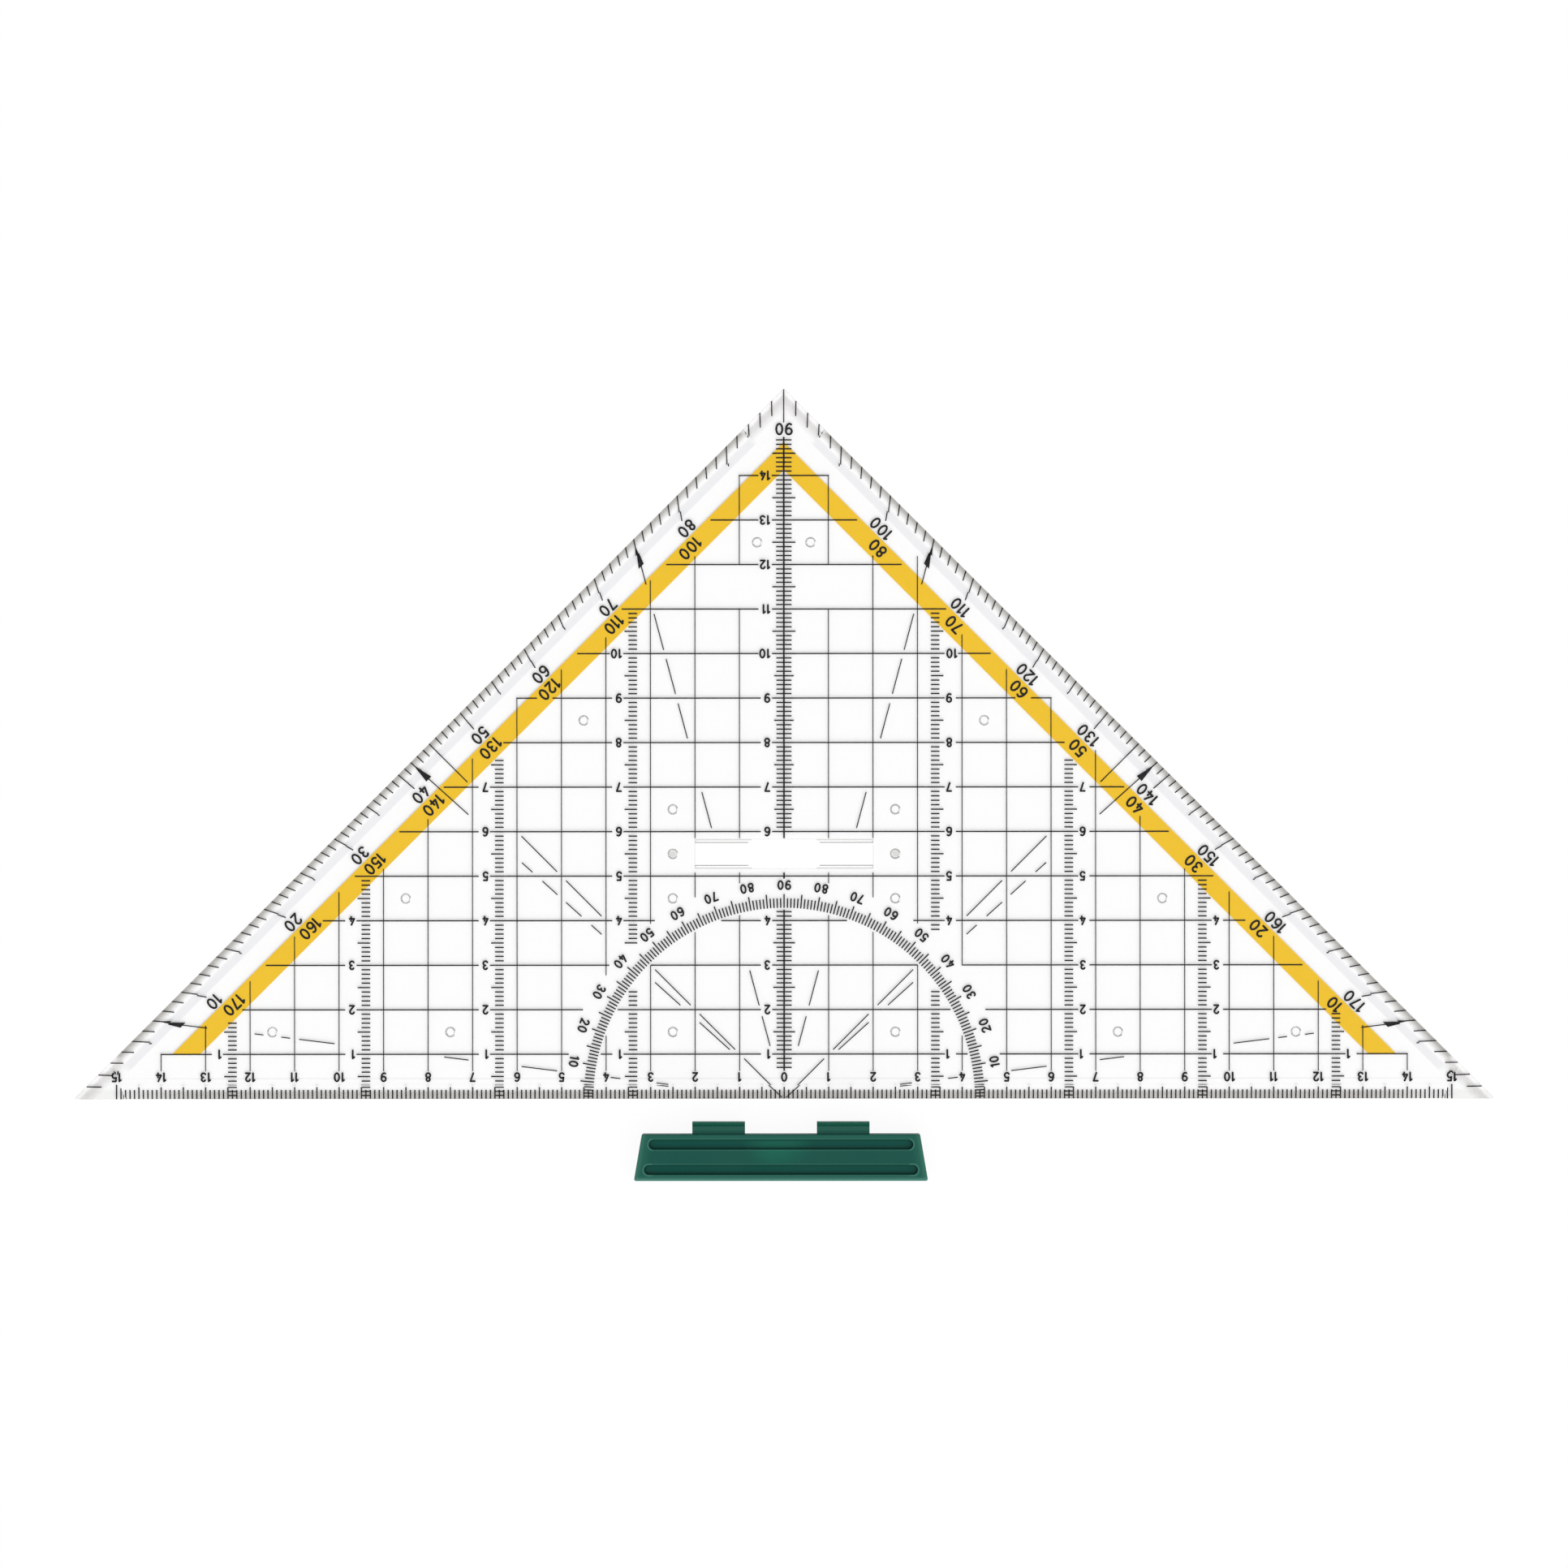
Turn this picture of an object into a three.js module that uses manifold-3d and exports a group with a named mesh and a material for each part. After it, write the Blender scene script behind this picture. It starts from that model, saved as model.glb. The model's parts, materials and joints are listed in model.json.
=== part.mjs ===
// Large clear set square with a protractor and centimetre grid, and its snap-in grip, taken off.
//
// Millimetres, +Z up. Z = 0 is the drawing surface that both mouldings lie on. The origin is the zero mark
// in the middle of the long edge, +X runs along that edge and +Y points to the right-angled corner.
// The ink is on the plate's underside and is read through the plate.
import * as THREE from 'three';
import * as BufferGeometryUtils from 'three/addons/utils/BufferGeometryUtils.js';
import Module from 'manifold-3d';

const wasm = await Module();
wasm.setup();

// Set square
const baseLength = 319;
const plateThickness = 2.6;
const tipRadius = 0.2;
const edgeLand = 1;
const bevelWidth = 3.1;
const bevelRunOut = 1.6;
const baseBevelMargin = 10.8;
const sideBevelFootMargin = 10.6;
const sideBevelApexMargin = 13;
const windowFromBase = 55;

// Low round feet under the set square, and the moulding gate's dimple in two of them
const footHeight = 0.5;
const footDiameter = 1.9;
const footEdgeRound = 0.15;
const gateDiameter = 1.4;
const gateDepth = 0.3;

// Grip
const gripThickness = 6;
const gripDepth = 10.5;
const gripRootWidth = 62.4;
const gripFootWidth = 66;
const gripCornerRadius = 0.45;
const gripEdgeRound = 0.3;
const gripGap = 5.08;
const gripShift = -0.74;

// Grooves on both faces of the grip, and the shallow hollow between them
const grooveWidth = 2.18;
const grooveDepth = 1.2;
const upperGrooveFromRoot = 2.32;
const lowerGrooveFromRoot = 8;
const upperGrooveLength = 59.3;
const lowerGrooveLength = 61.4;
const hollowDepth = 0.12;
const hollowRunOut = 3;

// Snap tabs of the grip
const tabPitch = 27.95;
const tabWidth = 11.8;
const neckLength = 1.84;
const neckThickness = 4.5;
const beadLength = 0.9;
const beadThickness = 5.3;
const beadNose = 0.4;

// Clearances of the snapped-in tabs in the window
const tabEndClearance = 0.125;
const neckClearance = 0.25;
const beadClearance = 0.65;
const lipSeatClearance = 0.14;
const lipEndSlant = 0.8;

// Ink
const inkThickness = 0.08;
const inkGap = 0.02;
const inkStep = 0.01;
const bandMargin = 12;
const bandDepth = 6.25;
const gridPitch = 10;
const columnWidth = 0.21;
const rowWidth = 0.29;
const spineWidth = 0.37;
const gridFoot = 6.2;
const spineFoot = 6.25;
const spineTopMargin = 10.8;
const frameMargin = 9;
const lineInset = 1.2;
const arcClearWidth = 7;
const cornerInset = 0.02;
const windowInkMarginBelow = 0.9;
const windowInkMarginAbove = 0.2;
const sideDigitStart = 3.1;
const sideDigitWidth = 2.5;
const centreDigitStart = 2.7;
const centreDigitWidth = 2.5;
const secondDigitWidth = 0.5;

// Shared by all cuts and joins
const cutOverrun = 1;
const rootOverlap = 0.5;
const arcSteps = 5;
const roundSides = 20;

// Sizes that follow from the ones above
const plateHeight = baseLength / 2;
const undersideZ = footHeight;
const plateTopZ = undersideZ + plateThickness;
const landZ = undersideZ + edgeLand;
const windowLength = tabPitch + tabWidth + 2 * tabEndClearance;
const windowHeight = beadThickness + 2 * beadClearance;
const lipGap = neckThickness + 2 * neckClearance;
const lipThickness = neckLength - lipSeatClearance;
const lipLength = tabWidth + 2 * tabEndClearance;
const bandOuterReach = plateHeight - bandMargin;
const bandInnerReach = bandOuterReach - bandDepth;
const cornerSum = Math.floor((plateHeight - frameMargin) / gridPitch);
const arcInnerRadius = 3 * Math.SQRT2 * gridPitch;
const arcClearRadius = arcInnerRadius + arcClearWidth;
const gridInkTopZ = undersideZ - inkGap;
const bandInkTopZ = gridInkTopZ - inkStep - inkThickness - inkGap;

// Places of the feet, across and up from the zero mark, in shares of the grid pitch
const footPlaceShares = [
    [0.6, 12.5], [4.5, 8.5], [2.5, 6.5], [2.5, 5.5], [8.5, 4.5],
    [2.5, 4.5], [2.5, 1.5], [7.5, 1.5], [11.5, 1.5],
];
const gatePlaceShare = 5.5;

// Inner ends of the side scales, in shares of the grid pitch
const sideScaleShares = [3.3, 6.3, 9.3, 12.3];

// How far a line stops short of the band's outer edge where a degree number stands on the band, in
// shares of the grid pitch, by the line's number
const rowInsetShares = new Map([[2, 0.59], [4, 0.4], [8, 0.46]]);
const leftColumnInsetShares = new Map([[2, 0.58], [4, 0.4], [8, 0.48], [9, 0.6]]);
const rightColumnInsetShares = new Map([[2, 0.56], [3, -0.42], [4, 0.34], [7, -0.06], [8, 0.42], [9, 0.6]]);
// Where lines beside the arc begin, in shares of the grid pitch, by the line's number. On the right the
// third row and the fourth column begin in the corner that they make.
const leftColumnFootShares = new Map([[4, 2.77]]);
const cornerColumnShare = 4;
const cornerRowShare = 3;
const degreeGapShares = [5.2, 5.55];
const degreeGapRow = 9;
const captionRow = 11;

function solidOf(geometry) {
    const bare = geometry.clone();
    bare.deleteAttribute('normal');
    bare.deleteAttribute('uv');
    const merged = BufferGeometryUtils.mergeVertices(bare);
    return new wasm.Manifold(new wasm.Mesh({
        numProp: 3,
        vertProperties: Float32Array.from(merged.attributes.position.array),
        triVerts: Uint32Array.from(merged.index.array),
    }));
}

function geometryOf(solid) {
    const mesh = solid.getMesh();
    const geometry = new THREE.BufferGeometry();
    geometry.setAttribute('position', new THREE.BufferAttribute(mesh.vertProperties, 3));
    geometry.setIndex(new THREE.BufferAttribute(mesh.triVerts, 1));
    geometry.computeVertexNormals();
    return geometry;
}

function box(xMin, xMax, yMin, yMax, zMin, zMax) {
    const geometry = new THREE.BoxGeometry(xMax - xMin, yMax - yMin, zMax - zMin);
    geometry.translate((xMin + xMax) / 2, (yMin + yMax) / 2, (zMin + zMax) / 2);
    return geometry;
}

// Closed outline with every corner rounded by an arc that touches both of its sides.
function roundedOutline(corners, radius) {
    const shape = new THREE.Shape();
    corners.forEach((corner, i) => {
        const before = corners[(i + corners.length - 1) % corners.length];
        const after = corners[(i + 1) % corners.length];
        const back = before.clone().sub(corner).normalize();
        const ahead = after.clone().sub(corner).normalize();
        const halfAngle = Math.acos(back.dot(ahead)) / 2;
        const middle = back.clone().add(ahead).normalize();
        const centre = corner.clone().addScaledVector(middle, radius / Math.sin(halfAngle));
        const start = corner.clone().addScaledVector(back, radius / Math.tan(halfAngle)).sub(centre);
        const end = corner.clone().addScaledVector(ahead, radius / Math.tan(halfAngle)).sub(centre);
        shape.absarc(centre.x, centre.y, radius, start.angle(), end.angle(), false);
    });
    return shape;
}

function outlineOf(points) {
    return new THREE.Shape(points.map(([x, y]) => new THREE.Vector2(x, y)));
}

// Upright prism of an outline seen from above.
function prism(shape, zMin, zMax) {
    const geometry = new THREE.ExtrudeGeometry(shape, {
        depth: zMax - zMin,
        bevelEnabled: false,
        curveSegments: arcSteps,
    });
    geometry.translate(0, 0, zMin);
    return geometry;
}

// Bar along +X of an outline drawn in Y and Z.
function barAlongX(shape, xMin, xMax) {
    const geometry = prism(shape, xMin, xMax);
    geometry.applyMatrix4(new THREE.Matrix4().makeBasis(
        new THREE.Vector3(0, 1, 0),
        new THREE.Vector3(0, 0, 1),
        new THREE.Vector3(1, 0, 0),
    ));
    return geometry;
}

// Bar along +Y of an outline drawn in X and Z.
function barAlongY(shape, yMin, yMax) {
    const geometry = prism(shape, -yMax, -yMin);
    geometry.rotateX(Math.PI / 2);
    return geometry;
}

// Tool that bevels an edge from (0, 0) along +X, with the plate on its +Y side, and runs out at both ends.
function bevelTool(edgeLength, startMargin, endMargin) {
    const rise = (plateTopZ - landZ) / bevelWidth * cutOverrun;
    const across = outlineOf([
        [-cutOverrun, landZ - rise],
        [bevelWidth + cutOverrun, plateTopZ + rise],
        [-cutOverrun, plateTopZ + rise],
    ]);
    const start = startMargin;
    const end = edgeLength - endMargin;
    const along = new THREE.Shape();
    along.moveTo(start, plateTopZ + cutOverrun);
    along.lineTo(start, plateTopZ);
    along.quadraticCurveTo(start, landZ, start + bevelRunOut, landZ);
    along.lineTo(start + bevelRunOut, undersideZ);
    along.lineTo(end - bevelRunOut, undersideZ);
    along.lineTo(end - bevelRunOut, landZ);
    along.quadraticCurveTo(end, landZ, end, plateTopZ);
    along.lineTo(end, plateTopZ + cutOverrun);
    return solidOf(barAlongX(across, 0, edgeLength))
        .intersect(solidOf(barAlongY(along, -2 * cutOverrun, bevelWidth + 2 * cutOverrun)));
}

// Moves a tool made for an edge along +X to the edge from one corner to the next, counterclockwise.
function toEdge(tool, from, to) {
    const geometry = geometryOf(tool);
    geometry.rotateZ(to.clone().sub(from).angle());
    geometry.translate(from.x, from.y, 0);
    return solidOf(geometry);
}

function foot(x, y) {
    const radius = footDiameter / 2;
    const profile = [
        [0, 0],
        [radius - footEdgeRound, 0],
        [radius, footEdgeRound],
        [radius, undersideZ + rootOverlap],
        [0, undersideZ + rootOverlap],
    ].map(([r, z]) => new THREE.Vector2(r, z));
    const geometry = new THREE.LatheGeometry(profile, roundSides);
    geometry.rotateX(Math.PI / 2);
    geometry.translate(x, y, 0);
    return solidOf(geometry);
}

function gateDimple(x, y) {
    const geometry = new THREE.CylinderGeometry(gateDiameter / 2, gateDiameter / 2, 2 * gateDepth, roundSides);
    geometry.rotateX(Math.PI / 2);
    geometry.translate(x, y, 0);
    return solidOf(geometry);
}

// Window seen from above: wide in the middle, and narrowed by the lips where the tabs snap in.
function lipOutline() {
    const endX = windowLength / 2;
    const lipX = endX - lipLength;
    const wide = windowHeight / 2;
    const narrow = lipGap / 2;
    const quarter = [
        [endX, narrow],
        [lipX, narrow],
        [lipX - lipEndSlant, wide],
    ];
    const upper = quarter.concat(quarter.map(([x, y]) => [-x, y]).reverse());
    const lower = upper.map(([x, y]) => [x, -y]).reverse();
    return outlineOf(upper.concat(lower).map(([x, y]) => [x, y + windowFromBase]));
}

function plateGeometry() {
    const corners = [
        new THREE.Vector2(-baseLength / 2, 0),
        new THREE.Vector2(baseLength / 2, 0),
        new THREE.Vector2(0, plateHeight),
    ];
    const [left, right, apex] = corners;
    const sideLength = right.distanceTo(apex);
    let plate = solidOf(prism(roundedOutline(corners, tipRadius), undersideZ, plateTopZ));

    plate = plate.subtract(toEdge(bevelTool(baseLength, baseBevelMargin, baseBevelMargin), left, right));
    plate = plate.subtract(toEdge(bevelTool(sideLength, sideBevelFootMargin, sideBevelApexMargin), right, apex));
    plate = plate.subtract(toEdge(bevelTool(sideLength, sideBevelApexMargin, sideBevelFootMargin), apex, left));

    const lipZ = plateTopZ - lipThickness;
    plate = plate.subtract(solidOf(box(
        -windowLength / 2,
        windowLength / 2,
        windowFromBase - windowHeight / 2,
        windowFromBase + windowHeight / 2,
        undersideZ - cutOverrun,
        lipZ,
    )));
    plate = plate.subtract(solidOf(prism(lipOutline(), undersideZ, plateTopZ + cutOverrun)));

    for (const [acrossShare, upShare] of footPlaceShares) {
        for (const side of [-1, 1]) {
            const x = side * acrossShare * gridPitch;
            const y = upShare * gridPitch;
            plate = plate.add(foot(x, y));
            if (upShare === gatePlaceShare) {
                plate = plate.subtract(gateDimple(x, y));
            }
        }
    }
    return geometryOf(plate);
}

// The grip is drawn with the middle of its root edge at the origin and its tabs towards +Y.
function gripBody() {
    const corners = [
        new THREE.Vector2(-gripFootWidth / 2, -gripDepth),
        new THREE.Vector2(gripFootWidth / 2, -gripDepth),
        new THREE.Vector2(gripRootWidth / 2, 0),
        new THREE.Vector2(-gripRootWidth / 2, 0),
    ];
    const geometry = new THREE.ExtrudeGeometry(roundedOutline(corners, gripCornerRadius), {
        depth: gripThickness - 2 * gripEdgeRound,
        bevelEnabled: true,
        bevelThickness: gripEdgeRound,
        bevelSize: gripEdgeRound,
        bevelOffset: -gripEdgeRound,
        bevelSegments: 2,
        curveSegments: arcSteps,
    });
    geometry.translate(0, 0, gripEdgeRound);
    return solidOf(geometry);
}

function snapTab(centreX) {
    const middle = gripThickness / 2;
    const neck = neckThickness / 2;
    const bead = beadThickness / 2;
    const catchRise = bead - neck;
    const tip = neckLength + beadLength;
    const upper = [
        [-rootOverlap, neck],
        [neckLength, neck],
        [neckLength + catchRise / 2, bead],
        [tip - beadNose, bead],
        [tip, bead - beadNose],
    ];
    const lower = upper.map(([y, z]) => [y, -z]).reverse();
    const outline = outlineOf(lower.concat(upper).map(([y, z]) => [y, z + middle]));
    return solidOf(barAlongX(outline, centreX - tabWidth / 2, centreX + tabWidth / 2));
}

// Groove with round ends, cut into the face at faceZ whose outside lies on the side that outward says.
function grooveTool(length, fromRoot, faceZ, outward) {
    const straight = (length - grooveWidth) / 2;
    const shape = new THREE.Shape();
    shape.absarc(straight, -fromRoot, grooveWidth / 2, -Math.PI / 2, Math.PI / 2, false);
    shape.absarc(-straight, -fromRoot, grooveWidth / 2, Math.PI / 2, 3 * Math.PI / 2, false);
    const floorZ = faceZ - outward * grooveDepth;
    const outsideZ = faceZ + outward * cutOverrun;
    return solidOf(prism(shape, Math.min(floorZ, outsideZ), Math.max(floorZ, outsideZ)));
}

// Hollow from groove to groove, which runs out to the face at both ends.
function hollowTool(faceZ, outward) {
    const half = (upperGrooveLength - grooveWidth) / 2;
    const floorZ = faceZ - outward * hollowDepth;
    const outsideZ = faceZ + outward * cutOverrun;
    const outline = outlineOf([
        [-half, outsideZ],
        [-half, faceZ],
        [-half + hollowRunOut, floorZ],
        [half - hollowRunOut, floorZ],
        [half, faceZ],
        [half, outsideZ],
    ]);
    return solidOf(barAlongY(outline, -lowerGrooveFromRoot, -upperGrooveFromRoot));
}

function gripGeometry() {
    let grip = gripBody();
    for (const side of [-1, 1]) {
        grip = grip.add(snapTab(side * tabPitch / 2));
    }
    for (const [faceZ, outward] of [[gripThickness, 1], [0, -1]]) {
        grip = grip.subtract(grooveTool(upperGrooveLength, upperGrooveFromRoot, faceZ, outward));
        grip = grip.subtract(grooveTool(lowerGrooveLength, lowerGrooveFromRoot, faceZ, outward));
        grip = grip.subtract(hollowTool(faceZ, outward));
    }
    return geometryOf(grip);
}

function bandGeometry() {
    const foot = gridPitch;
    const shape = outlineOf([
        [foot - bandOuterReach, foot],
        [foot - bandInnerReach, foot],
        [0, bandInnerReach],
        [bandInnerReach - foot, foot],
        [bandOuterReach - foot, foot],
        [0, bandOuterReach],
    ]);
    return prism(shape, bandInkTopZ - inkThickness, bandInkTopZ);
}

// Half width that the arc's clear ring leaves free at a distance from the zero mark's other axis.
function ringReach(radius, distance) {
    return distance < radius ? Math.sqrt(radius ** 2 - distance ** 2) : 0;
}

// Only these rows end in a corner with the column that completes the sum.
function isCornerRow(row) {
    return row === 1 || row === degreeGapRow || row === cornerSum - 1;
}

function rowReach(row) {
    if (isCornerRow(row)) {
        return (cornerSum - row) * gridPitch;
    }
    const inset = rowInsetShares.has(row) ? rowInsetShares.get(row) * gridPitch : lineInset;
    return bandOuterReach - row * gridPitch - inset;
}

function columnTop(column, side) {
    if (isCornerRow(cornerSum - column)) {
        return (cornerSum - column) * gridPitch;
    }
    const shares = side < 0 ? leftColumnInsetShares : rightColumnInsetShares;
    const inset = shares.has(column) ? shares.get(column) * gridPitch : lineInset;
    return bandOuterReach - column * gridPitch - inset;
}

// Stretches of a row that stay free for the numbers on it.
function rowGaps(row) {
    const gaps = [];
    const y = row * gridPitch;
    const wider = row >= 10 ? secondDigitWidth : 0;
    if (row !== 5) {
        gaps.push([-centreDigitStart - centreDigitWidth - wider, -centreDigitStart]);
    }
    for (const scaleShare of sideScaleShares) {
        const start = scaleShare * gridPitch + sideDigitStart;
        const end = start + sideDigitWidth + wider;
        const middle = (start + end) / 2;
        const radius = Math.hypot(middle, y);
        const onArc = Math.hypot(end, y) > arcInnerRadius && radius < arcClearRadius;
        if (middle + y < bandInnerReach && !onArc) {
            gaps.push([start, end], [-end, -start]);
        }
    }
    if (row === degreeGapRow) {
        const [start, end] = degreeGapShares.map(share => share * gridPitch);
        gaps.push([start, end], [-end, -start]);
    }
    return gaps;
}

// What is left of the stretch from start to end when the gaps are taken out of it.
function withoutGaps(start, end, gaps) {
    let stretches = [[start, end]];
    for (const [gapStart, gapEnd] of gaps) {
        stretches = stretches.flatMap(([a, b]) => {
            if (gapEnd <= a || gapStart >= b) {
                return [[a, b]];
            }
            return [[a, gapStart], [gapEnd, b]].filter(([c, d]) => d > c);
        });
    }
    return stretches;
}

// How far out a row begins beside the arc on one side.
function rowStart(row, side) {
    if (side > 0 && row === cornerRowShare) {
        return cornerColumnShare * gridPitch - columnWidth / 2 + cornerInset;
    }
    return ringReach(arcClearRadius, row * gridPitch);
}

// How far up a column begins beside the arc on one side.
function columnStart(column, side) {
    if (side > 0 && column === cornerColumnShare) {
        return cornerRowShare * gridPitch - rowWidth / 2 + cornerInset;
    }
    if (side < 0 && leftColumnFootShares.has(column)) {
        return leftColumnFootShares.get(column) * gridPitch;
    }
    return ringReach(arcClearRadius, column * gridPitch);
}

function rowStrips(row) {
    const y = row * gridPitch;
    const half = rowWidth / 2;
    const reach = rowReach(row) + half;
    const gaps = rowGaps(row);
    const inner = ringReach(arcInnerRadius, y);
    if (y < arcClearRadius) {
        gaps.push([inner, rowStart(row, 1)], [-rowStart(row, -1), -inner]);
    }
    return withoutGaps(-reach, reach, gaps).map(([xMin, xMax]) => [xMin, xMax, y - half, y + half]);
}

function columnStrips(column, side, width, foot, top) {
    const x = side * column * gridPitch;
    const half = width / 2;
    const gaps = [];
    const inner = ringReach(arcInnerRadius, Math.abs(x));
    if (Math.abs(x) < arcClearRadius) {
        gaps.push([inner, columnStart(column, side)]);
    }
    if (Math.abs(x) <= windowLength / 2) {
        gaps.push([
            windowFromBase - windowHeight / 2 - windowInkMarginBelow,
            windowFromBase + windowHeight / 2 + windowInkMarginAbove,
        ]);
    }
    if (column === 1) {
        gaps.push([captionRow * gridPitch, (captionRow + 1) * gridPitch]);
    }
    return withoutGaps(foot, top, gaps).map(([yMin, yMax]) => [x - half, x + half, yMin, yMax]);
}

function gridStrips() {
    const strips = columnStrips(0, 1, spineWidth, spineFoot, plateHeight - spineTopMargin);
    for (let line = 1; line < cornerSum; line += 1) {
        strips.push(...rowStrips(line));
        for (const side of [-1, 1]) {
            const top = columnTop(line, side) + rowWidth / 2;
            strips.push(...columnStrips(line, side, columnWidth, gridFoot, top));
        }
    }
    return strips;
}

function stripsTouch(a, b) {
    return a[0] < b[1] && b[0] < a[1] && a[2] < b[3] && b[2] < a[3];
}

// Sorts the strips into islands of strips that cross each other, the largest island first.
function islandsOf(strips) {
    const left = new Set(strips);
    const islands = [];
    while (left.size > 0) {
        const [first] = left;
        const island = [first];
        left.delete(first);
        for (const strip of island) {
            for (const other of [...left].filter(candidate => stripsTouch(strip, candidate))) {
                island.push(other);
                left.delete(other);
            }
        }
        islands.push(island);
    }
    return islands.sort((a, b) => b.length - a.length);
}

function inkLayer(strips, topZ) {
    const prisms = strips.map(([xMin, xMax, yMin, yMax]) => {
        const outline = outlineOf([[xMin, yMin], [xMax, yMin], [xMax, yMax], [xMin, yMax]]);
        return prism(outline, topZ - inkThickness, topZ);
    });
    return solidOf(BufferGeometryUtils.mergeGeometries(prisms));
}

// The rows lie a hair deeper in the ink than the columns.
function inkGeometry(strips) {
    const isRow = ([xMin, xMax, yMin, yMax]) => xMax - xMin > yMax - yMin;
    const layers = [
        [strips.filter(isRow), gridInkTopZ - inkStep],
        [strips.filter(strip => !isRow(strip)), gridInkTopZ],
    ];
    const solids = layers.filter(([lines]) => lines.length > 0).map(([lines, topZ]) => inkLayer(lines, topZ));
    return geometryOf(solids.reduce((joined, next) => joined.add(next)));
}

function pieceMesh(name, geometry, look) {
    const mesh = new THREE.Mesh(geometry, new THREE.MeshStandardMaterial(look));
    mesh.name = name;
    return mesh;
}

const clearPlastic = { color: 0xf3f6f6, roughness: 0.08, metalness: 0, transparent: true, opacity: 0.35 };
const greenPlastic = { color: 0x2c6456, roughness: 0.42, metalness: 0 };
const yellowInk = { color: 0xf0c02c, roughness: 0.55, metalness: 0 };
const blackInk = { color: 0x1a1818, roughness: 0.55, metalness: 0 };

const setSquare = new THREE.Group();
setSquare.add(pieceMesh('plate', plateGeometry(), clearPlastic));
setSquare.add(pieceMesh('yellow_band', bandGeometry(), yellowInk));
islandsOf(gridStrips()).forEach((island, i) => {
    setSquare.add(pieceMesh(`grid_print_${i + 1}`, inkGeometry(island), blackInk));
});

const grip = new THREE.Group();
grip.add(pieceMesh('handle', gripGeometry(), greenPlastic));
grip.position.set(gripShift, -gripGap - neckLength - beadLength, 0);

const draftingTriangle = new THREE.Group();
draftingTriangle.add(setSquare, grip);

export default draftingTriangle;
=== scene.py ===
"""Large clear set square with printed scales, and its snap-in grip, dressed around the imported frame.

The frame's origin is the zero mark in the middle of the long edge. +X runs along that edge, +Y points to the
right-angled corner and +Z is up. The ink lies under the plate and is read through it.
"""

import json
import math

import bmesh
import bpy
from bpy.props import FloatProperty, FloatVectorProperty, PointerProperty
from mathutils import Matrix, Vector
from mathutils.geometry import delaunay_2d_cdt

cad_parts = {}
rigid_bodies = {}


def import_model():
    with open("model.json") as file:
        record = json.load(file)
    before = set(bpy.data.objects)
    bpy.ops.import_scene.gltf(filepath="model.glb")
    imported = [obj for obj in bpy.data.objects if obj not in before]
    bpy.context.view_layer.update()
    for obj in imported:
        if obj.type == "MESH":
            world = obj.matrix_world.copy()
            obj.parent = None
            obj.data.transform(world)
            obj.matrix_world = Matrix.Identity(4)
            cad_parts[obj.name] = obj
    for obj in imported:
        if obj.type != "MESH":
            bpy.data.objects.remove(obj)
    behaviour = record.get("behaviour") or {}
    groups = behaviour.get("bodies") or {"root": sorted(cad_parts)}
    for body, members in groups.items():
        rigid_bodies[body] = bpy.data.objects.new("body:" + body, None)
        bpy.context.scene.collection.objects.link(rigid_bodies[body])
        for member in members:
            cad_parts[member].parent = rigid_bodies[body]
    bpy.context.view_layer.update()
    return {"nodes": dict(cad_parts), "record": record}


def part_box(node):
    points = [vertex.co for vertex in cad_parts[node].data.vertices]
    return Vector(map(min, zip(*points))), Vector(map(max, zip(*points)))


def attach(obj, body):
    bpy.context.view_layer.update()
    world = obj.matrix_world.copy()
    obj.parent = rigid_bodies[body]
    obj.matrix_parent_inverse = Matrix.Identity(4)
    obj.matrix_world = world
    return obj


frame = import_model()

bl_info = {
    "name": "Printed set square",
    "version": (1, 0, 0),
    "blender": (4, 5, 0),
    "location": "View3D > Sidebar > Set square",
    "description": "Prints the scales of a large clear set square and finishes it and its grip",
    "category": "Object",
}

MM = 0.001
PLATE_BODY = "set_square"
PITCH = 10 * MM
# The scene's ink lies a little below the top of the frame's ink and a little above its bottom
INK_THICKNESS = 0.07 * MM
INK_DROP = 0.005 * MM

PLATE_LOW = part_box("plate")[0]
GRIP_LOW, GRIP_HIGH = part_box("handle")
INK_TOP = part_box("grid_print_1")[1].z - INK_DROP
MOUNTS = {mount["name"]: mount for mount in frame["record"]["mounts"]}
# The short edges are the lines where |x| + y is this much
EDGE_REACH = sum(MOUNTS["right_edge"]["pos_m"][:2])


# Settings

def millimetres(name, description, default, least=0.0):
    """A length in metres, set as millimetres."""
    return FloatProperty(
        name=name, description=description, default=default * MM, min=least * MM,
        subtype="DISTANCE", unit="LENGTH", precision=6,
    )


def colour(name, description, red, green, blue):
    """A colour given as 8-bit screen values."""
    return FloatVectorProperty(
        name=name, description=description, default=[linear(part) for part in (red, green, blue)],
        size=3, min=0.0, max=1.0, subtype="COLOR",
    )


def linear(part):
    """Linear light of one 8-bit screen value."""
    share = part / 255
    return share / 12.92 if share <= 0.04045 else ((share + 0.055) / 1.055) ** 2.4


def seen_through(name, place, *parts):
    """Tint of what is seen through a place of the plate."""
    return colour(name, "Colour of what shows through " + place, *parts)


def amount(name, description, default, least=0.0, most=1.0):
    """A plain number, as a rule a share between 0 and 1."""
    kind = "FACTOR" if most == 1.0 else "NONE"
    return FloatProperty(
        name=name, description=description, default=default, min=least, max=most, subtype=kind,
    )


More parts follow.
